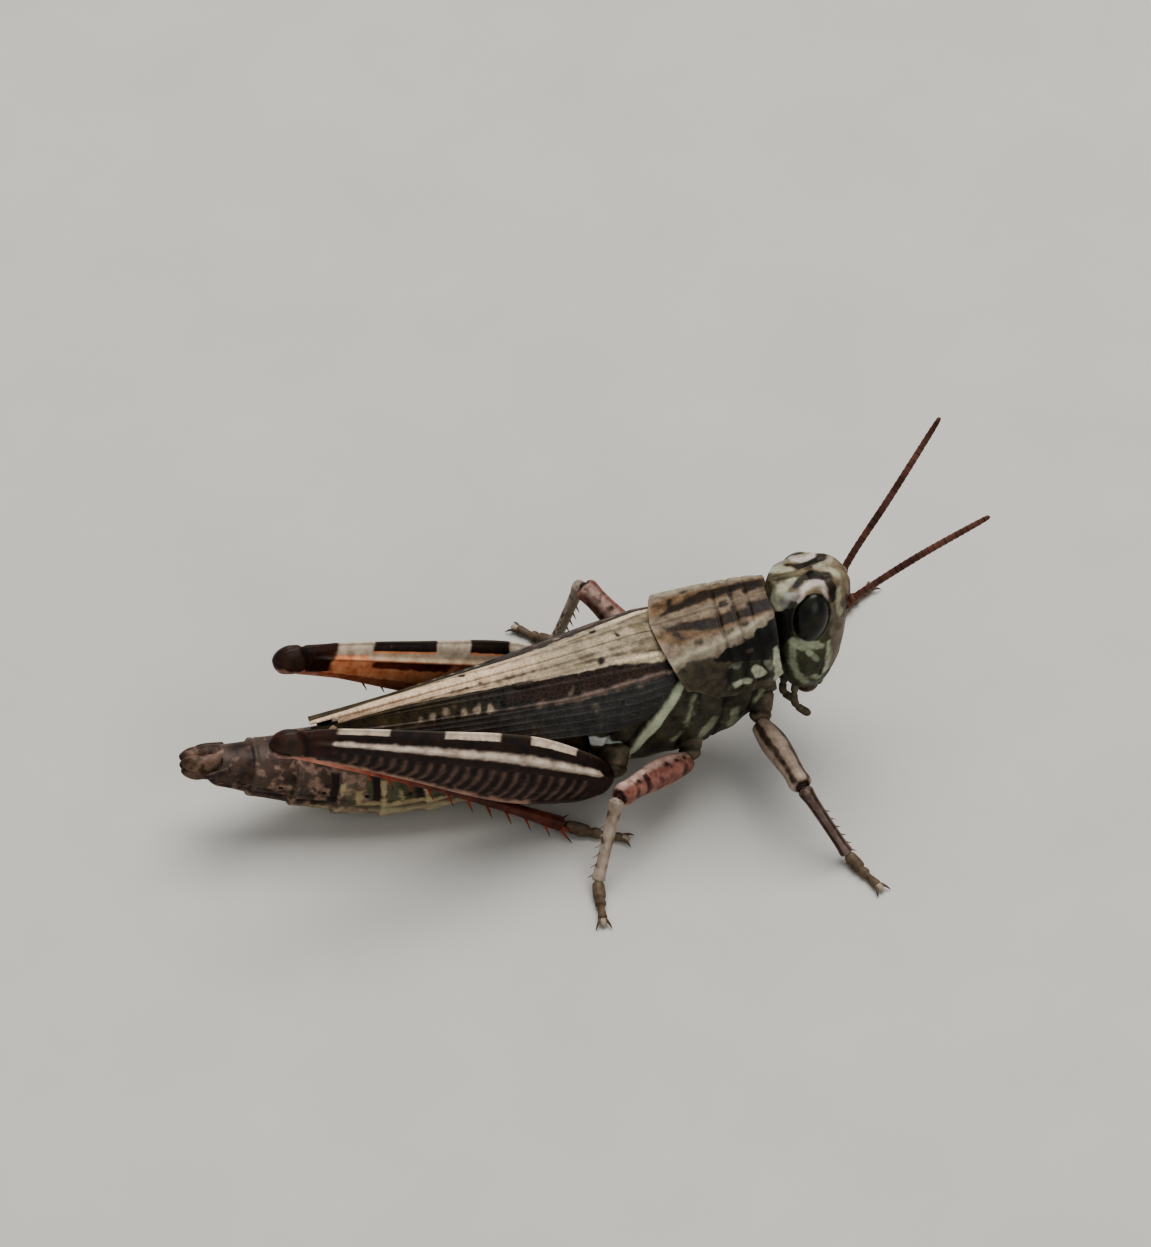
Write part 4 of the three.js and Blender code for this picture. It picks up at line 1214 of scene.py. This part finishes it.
thigh_half = through((0, 0.5), (0.25, 0.72), (0.6, 0.5), (0.86, 0.4), (1, 0.45))
thigh_above = through(
    (0, 0.5), (0.1, 1.2), (0.3, 1.9), (0.6, 1.6), (0.84, 1.15), (0.95, 0.8), (1, 0.6)
)
thigh_below = through(
    (0, 0.62), (0.1, 1.4), (0.3, 1.74), (0.6, 0.95), (0.86, 0.35), (0.95, 0.55), (1, 0.5)
)


def thigh_section(u, side):
    """How high on the thigh a point lies and how far to its outer side, each from -1 to 1."""
    out, rise = np.sin(2 * np.pi * u), -np.cos(2 * np.pi * u)
    reach = (np.abs(out) ** 2.5 + np.abs(rise) ** 2.5) ** -0.4
    return rise * reach, -side * out * reach


def span(t, start, end):
    """1 between two places along the thigh, and a half at each."""
    return edge(np.minimum(t - start, end - t) * THIGH_LENGTH)


def turned(turn, start, end):
    """1 on a stripe along the thigh, between two turns from its crest in degrees, outwards > 0."""
    return edge(np.minimum(turn - start, end - turn), STRIPE_EDGE)


def herringbone(rise, t):
    place = t * THIGH_LENGTH + 0.62 * (1 - rise**2)
    return 0.5 + 0.5 * np.cos(2 * np.pi * place / HERRINGBONE)


def on_field(rise, out, t):
    between = fade(0.52 - np.abs(rise + 0.16), 0.12)
    return between * fade(out, 0.3) * fade(t - 0.05, 0.05) * fade(0.83 - t, 0.05)


def thigh_relief(side):
    def relief(u, v, p):
        rise, out = thigh_section(u, side)
        t, outer = how_far(v), fade(np.abs(out), 0.3)
        long = fade(t - 0.03, 0.05) * fade(0.9 - t, 0.06)
        keels = 0.1 * ridge(rise - 0.64, 0.07) + 0.08 * ridge(rise + 0.72, 0.06)
        back = 0.08 * ridge(u - 0.5, 0.016)
        groove = -0.12 * ridge(np.minimum(u, 1 - u), 0.035) * fade(0.85 - t, 0.1)
        field = on_field(rise, out, t) * (0.05 * herringbone(rise, t) - 0.06)
        knee_line = t - 0.905 - 0.03 * rise**2
        lobes = 0.035 * fade(knee_line, 0.012) * outer * fade(1 - t, 0.03)
        crescent = -0.05 * ridge(knee_line + 0.004, 0.007) * outer
        split = -0.05 * ridge(rise + 0.15, 0.09) * fade(t - 0.93, 0.02) * outer
        return (keels * outer + back) * long + groove + field + lobes + crescent + split

    return relief


def thigh_patterns(side, pale_stretches):
    """The pattern of each mark. Those of the inner side and the back lie by the turn from the
    crest, and the rest by height and by how far out."""

    def patterns(u, v, p):
        rise, out = thigh_section(u, side)
        t, turn = how_far(v), np.degrees(np.arctan2(out, rise))
        patches = np.maximum(span(t, 0.46, 0.71), 0.8 * span(t, 0.2, 0.36))
        stretches = np.max([span(t, *ends) for ends in pale_stretches], axis=0)
        upper_keel = edge(0.19 - 0.06 * t - np.abs(rise - 0.66) * 1.4) * (out > 0)
        lower_keel = edge(0.09 - np.abs(rise + 0.72) * 1.1) * (out > 0)
        return {
            "inner_red": np.maximum(turned(turn, -190, -30), fade(turn - 150, 10)),
            "inner_low": turned(turn, -170, -100),
            "inner_blotch": turned(turn, -72, -56) * patches,
            "inner_cream": turned(turn, -52, -36) * span(t, 0.3, 0.73),
            "herringbone": on_field(rise, out, t) * (0.25 + 0.55 * herringbone(rise, t) ** 1.6),
            "back_dark": turned(turn, -31, 42),
            "back_pale": np.minimum(stretches, turned(turn, -43, 21)),
            "lower_keel": lower_keel * span(t, 0.22, 0.86),
            "knee": edge((t - 0.9 + 0.07 * fade(rise + 0.5, 0.5)) * THIGH_LENGTH, 0.5),
            "knee_lobe": edge(-0.35 - rise, 0.5) * span(t, 0.86, 0.985),
            "upper_keel": upper_keel * span(t, 0.05, 0.845),
        }

    return patterns


# Thigh cuticle, maroon outside with two straw keels, and orange inside, where the inner tones are
# painted lighter than the cuticle's own as painted light on a face that lies in shade
thigh_marks = {
    # The four inner marks are the thigh's own orange, cream and blotch, with painted light: their
    # tones are raised to stand for light on the shaded inner face.
    "inner_red": ("#c8754c", "#efa87c", 0.3, 0.3),
    "inner_low": ("#8e4a30", "#b87354", 0.4, 0.3),
    "inner_blotch": ("#4e2015", "#743c2a", 0.4, 0.3),
    "inner_cream": ("#b09679", "#d6bc9c", 0.2, 0.25),
    "herringbone": ("#46322a", "#6b5347", 0.3, 0.35),
    "back_dark": ("#130a06", "#2d1a10", 0.3, 0.2),
    "back_pale": ("#a8957f", "#d3c1aa", 0.2, 0.2),
    "lower_keel": ("#7d5a4b", "#a07f6d", 0.25, 0.22),
    "knee": ("#1c0c07", "#3d1d12", 0.3, 0.3),
    "knee_lobe": ("#6b4638", "#a37a68", 0.5, 0.25),
    "upper_keel": ("#9c8878", "#cfbdaa", 0.15, 0.2),
}
thigh_cuticle = cuticle(
    "maroon_thigh_cuticle", ("#1c0f0b", "#33211a"), 0.45, thigh_marks, pit_mm=0.14, roughness=0.42
)
for name, side in SIDES:
    patterns = thigh_patterns(side, PALE_STRETCHES[name])
    hip, knee, _, _ = LEGS["hindleg_" + name]
    middle = (hip + knee) / 2 + [0, 0.22 * side, THIGH_LIFT[name]]
    club = tube(
        [hip, middle, knee],
        REARWARD_ACROSS,
        thigh_half,
        thigh_above,
        thigh_below,
        square=(1.1, 0.85),
        ends=(0.03, 0.04),
    )
    thigh = cast("jumping_thigh_" + name, 170, 360, club, thigh_relief(side), patterns)
    fit(thigh, thigh_cuticle, "cuticle_thigh", f"hindleg_{name}_femur")

# Red shins: slim rods folded up under the thighs, with two rows of black-tipped spines on the
# side turned from the thigh and two pairs of movable spurs at the ankle.
SHIN_SPINES = 10  # in each row
SHIN_BOW = 0.22
ABOVE_FLOOR = 0.03  # mm, the lowest that the tip of a spine or a claw may come
SPINE_TIP = {"tip": ("#120a07", "#24140d", 0.2, 0.3)}
shin_size = through((0, 0.32), (0.06, 0.29), (0.3, 0.26), (0.8, 0.22), (1, 0.3))
# Shin cuticle, smooth and glossy, red with a pale stretch by the knee, and darkened towards the
# ankle with painted shade where the shin lies under the thigh
shin_marks = {
    # Painted shade: the red darkens from a fifth of the way down the shin to the ankle, under the
    # thigh.
    "ankle_painted_shade": ("#3a1a10", "#5c3122", 0.4, 0.4, lambda u, v, p: np.clip(
        (how_far(v) - 0.2) / 0.4, 0, 0.9
    )),
    "near_knee": ("#a05a42", "#c58a74", 0.3, 0.4, lambda u, v, p: np.clip(
        1.3 - how_far(v) / 0.3, 0, 1
    )),
}
shin_red = cuticle(
    "red_shin_cuticle",
    ("#6e2413", "#9c432a"),
    0.8,
    {**shin_marks, **SPINE_TIP},
    pit_mm=0.1,
    pits=0.25,
    roughness=0.38,
)


def spine(name, seat, way, length, girth, droop=0.0):
    """A stiff tapered spine on a leg, a little curved, with its tip darker."""
    way = unit(way)
    tip = seat + way * length
    tip[2] = max(tip[2], ABOVE_FLOOR)
    middle = (seat + tip) / 2 + [0, 0, droop * length]
    across = LEFTWARD if abs(way[1]) < 0.8 else FORWARD
    taper = lambda t: girth * (1 - 0.93 * t**1.4)
    cone = tube([seat - way * girth, middle, tip], across, taper, taper)
    return cast(name, 8, 9, cone, marks={"tip": lambda u, v, p: np.clip((v - 0.45) * 2.5, 0, 1)})


def shin_relief(u, v, p):
    return 0.02 * ridge(np.abs(u - 0.5) - 0.12, 0.03)


for name in ("left", "right"):
    _, knee, ankle, _ = LEGS["hindleg_" + name]
    hinge = knee + [0.75, 0, -0.55]
    rod = limb(hinge, ankle, shin_size, LEFTWARD, ends=(0.03, 0.02), bow=SHIN_BOW)
    pieces = [cast("shin_rod_" + name, 32, 260, rod, shin_relief, shin_marks)]
    bowed = (hinge + ankle) / 2 + SHIN_BOW * unit(np.cross(unit(ankle - hinge), LEFTWARD))
    route = smooth_route([hinge, bowed, ankle])
    for place in np.linspace(0.28, 0.93, SHIN_SPINES):
        for row in (1, -1):
            seat, way = route(np.array(place + 0.02 * (row > 0)))
            up, out = unit(np.cross(way, LEFTWARD)), LEFTWARD * row
            seat = seat + 0.13 * out - 0.13 * up
            lean = 0.7 * way + 0.5 * out - 0.55 * up
            pieces.append(spine("shin_spine", seat, lean, length=0.62, girth=0.065))
    for row in (1, -1):
        seat, way = route(np.array(0.985))
        up, out = unit(np.cross(way, LEFTWARD)), LEFTWARD * row
        for rise, length in ((-0.5, 0.8), (0.25, 0.6)):
            lean = 0.85 * way + out * 0.6 + up * rise * 0.5
            root = seat + out * 0.2 + up * rise * 0.2
            pieces.append(spine("shin_spur", root, lean, length, girth=0.07))
    fit(join(pieces, "red_shin_" + name), shin_red, "cuticle_red_shin", f"hindleg_{name}_tibia")

# Walking thighs and shins: slender keeled tubes, tan with dark lengthwise stripes on the front
# legs and rosy with dark blotches on the middle ones. The shins have two rows of small spines.
LEG_NOTCHES = 8  # dark notches along the pale back of a middle thigh
LEG_SPINES = 6  # in each row
stride_width = through((0, 0.38), (0.35, 0.54), (0.8, 0.42), (0.94, 0.46), (1, 0.4))
stride_depth = through((0, 0.4), (0.35, 0.6), (0.8, 0.46), (0.94, 0.48), (1, 0.42))
stride_shin = through((0, 0.32), (0.08, 0.3), (0.2, 0.25), (0.8, 0.23), (1, 0.28))


def keeled(u, v, p):
    wave = np.cos(8 * np.pi * u)
    keels = 0.035 * np.maximum(0, wave) - 0.02 * np.maximum(0, -wave)
    keels = keels * (fade(v, 0.1) * fade(0.95 - v, 0.1))
    return keels - 0.06 * ridge(v - 0.93, 0.02) - 0.05 * ridge(v - 0.06, 0.02)


def shin_lines(u, v, p):
    return 0.015 * np.cos(8 * np.pi * u) - 0.03 * ridge(v - 0.09, 0.02)


def leg_stripe(u, v, p):
    return edge((np.abs(np.sin(4 * np.pi * u)) - 0.86) * 2.2, 1) * fade(v - 0.08, 0.06) * fade(
        0.92 - v, 0.08
    )


def leg_blotch(u, v, p):
    t = how_far(v)
    patches = 0.3 + 0.5 * np.sin(t * 31 + 2 * np.sin(t * 9)) * np.sin(2 * np.pi * u) ** 2
    patches = np.clip(patches - 0.2 * np.abs(np.cos(2 * np.pi * u)), 0, 1)
    return patches * fade(v - 0.1, 0.08)


def leg_notch(u, v, p):
    t = how_far(v)
    across = edge(0.03 - np.abs(np.abs(u - 0.5) - 0.12), 0.08)
    along = np.clip(0.4 + 0.4 * np.sin(t * LEG_NOTCHES * 2 * np.pi + np.sin(t * 9)), 0, 1)
    return across * along * fade(v - 0.15, 0.08) * fade(0.9 - v, 0.05)


leg_patterns = {
    "stripe": leg_stripe,
    "dark_ring": lambda u, v, p: edge(0.06 - np.abs(v - 0.95), 0.08),
    "blotch": leg_blotch,
    "pale_back": lambda u, v, p: edge((np.abs(np.cos(2 * np.pi * u)) - 0.75) * 2, 1),
    "notch": leg_notch,
}
# Walking-leg cuticle, thin and dull: tan with dark stripes in front, rosy and blotched behind
WALKING_FINISHES = {  # cuticle of the thigh and of the shin: name, tones, cloud in mm and marks
    "foreleg": [
        ("striped_foreleg_cuticle", ("#7c6b5c", "#a08d7c"), 0.5, {
            "stripe": ("#2f2219", "#55443a", 0.4, 0.3),
            "dark_ring": ("#2b1d15", "#3f2c22", 0.4, 0.25),
        }),
        ("brown_foreshin_cuticle", ("#54423a", "#77655b"), 0.6, {
            "stripe": ("#2b1c16", "#402e27", 0.4, 0.25),
            "dark_ring": ("#241610", "#35231b", 0.4, 0.25),
        }),
    ],
    "midleg": [
        ("rosy_midleg_cuticle", ("#6e4237", "#99695c"), 0.5, {
            "pale_back": ("#97776a", "#bc9f90", 0.5, 0.35),
            "blotch": ("#2a140d", "#52302a", 0.8, 0.35),
            "notch": ("#2a1610", "#4f2e26", 0.9, 0.35),
            "dark_ring": ("#2e1c14", "#452f25", 0.4, 0.25),
        }),
        ("tan_midshin_cuticle", ("#8a7a6a", "#a99a89"), 0.6, {
            "blotch": ("#4c3b2e", "#665444", 0.4, 0.25),
        }),
    ],
}
for kind, finishes in WALKING_FINISHES.items():
    thigh_finish, shin_finish = (
        cuticle(name, ground, cloud_mm, {**marks, **SPINE_TIP}, pits=0.3)
        for name, ground, cloud_mm, marks in finishes
    )
    for leg in (kind + "_left", kind + "_right"):
        hip, knee, ankle, _ = LEGS[leg]
        club = limb(hip, knee, stride_width, FORWARD, stride_depth, ends=(0.06, 0.08), bow=0.12)
        thigh = cast(leg + "_thigh", 56, 96, club, keeled, leg_patterns)
        fit(thigh, thigh_finish, "cuticle_walking_leg", leg + "_femur")
        rod = limb(knee, ankle, stride_shin, FORWARD, ends=(0.06, 0.04))
        pieces = [cast(leg + "_shin_rod", 40, 110, rod, shin_lines, leg_patterns)]
        way = unit(ankle - knee)
        to_body = np.array([0, -np.sign(hip[1]), 0])
        inward = unit(to_body - way * np.dot(to_body, way))
        beside = np.cross(way, inward)
        for place in np.linspace(0.35, 0.94, LEG_SPINES):
            for row in (1, -1):
                seat = knee + (ankle - knee) * (place + 0.03 * row)
                seat = seat + 0.12 * inward + 0.12 * row * beside
                lean = 0.75 * way + 0.5 * inward + 0.5 * row * beside
                pieces.append(spine("shin_spine", seat, lean, length=0.42, girth=0.05))
        fit(join(pieces, leg + "_shin"), shin_finish, "cuticle_walking_leg", leg + "_tibia")

# Feet: three short joints with soft pads under the first, laid flat on the floor, then a pair of
# hooked claws with a small round pad between them.
foot_girth = through(
    *((0, 0.2), (0.12, 0.25), (0.38, 0.25), (0.44, 0.17), (0.5, 0.22), (0.58, 0.22)),
    *((0.63, 0.15), (0.8, 0.17), (1, 0.22)),
)
# Foot cuticle, brown and dull, with paler soles and dark claw tips
foot_marks = {
    "sole": ("#8c7e69", "#a39680", 0.3, 0.3, below(0.13, 0.15)),
    "tip": ("#100906", "#20130c", 0.2, 0.3, 0.0),
}
foot_cuticle = cuticle(
    "brown_foot_cuticle", ("#4a3b2d", "#6b5a47"), 0.5, foot_marks, pits=0.25, roughness=0.5
)


def foot_pads(u, v, p):
    t = how_far(v)
    return 0.04 * np.maximum(0, np.cos(t * 45)) * (t < 0.4) * (np.cos(2 * np.pi * u) > 0.4)


for leg, (_, _, ankle, toe) in LEGS.items():
    ahead = unit((toe - ankle) * [1, 1, 0])
    aside = np.array([-ahead[1], ahead[0], 0])
    route = [ankle, (ankle + toe) / 2 + [0, 0, -0.09], toe - ahead * 0.15]
    joints = rest_on_floor(tube(route, aside, foot_girth, foot_girth, ends=(0.06, 0.1)))
    route = [toe - ahead * 0.3, toe, toe + ahead * 0.12]
    pad = rest_on_floor(tube(route, aside, half=0.15, over=0.13, ends=(0.3, 0.5)))
    pieces = [
        cast(leg + "_foot_joints", 36, 90, joints, foot_pads, foot_marks),
        cast(leg + "_foot_pad", 20, 14, pad, marks={"sole": 0.9}),
    ]
    for row in (1, -1):
        seat = toe - ahead * 0.2 + aside * row * 0.1
        lean = ahead + aside * row * 0.55 - np.array([0, 0, 0.3])
        pieces.append(spine("claw", seat, lean, length=0.5, girth=0.085, droop=0.18))
    fit(join(pieces, leg + "_foot"), foot_cuticle, "cuticle_foot", leg + "_tarsus")
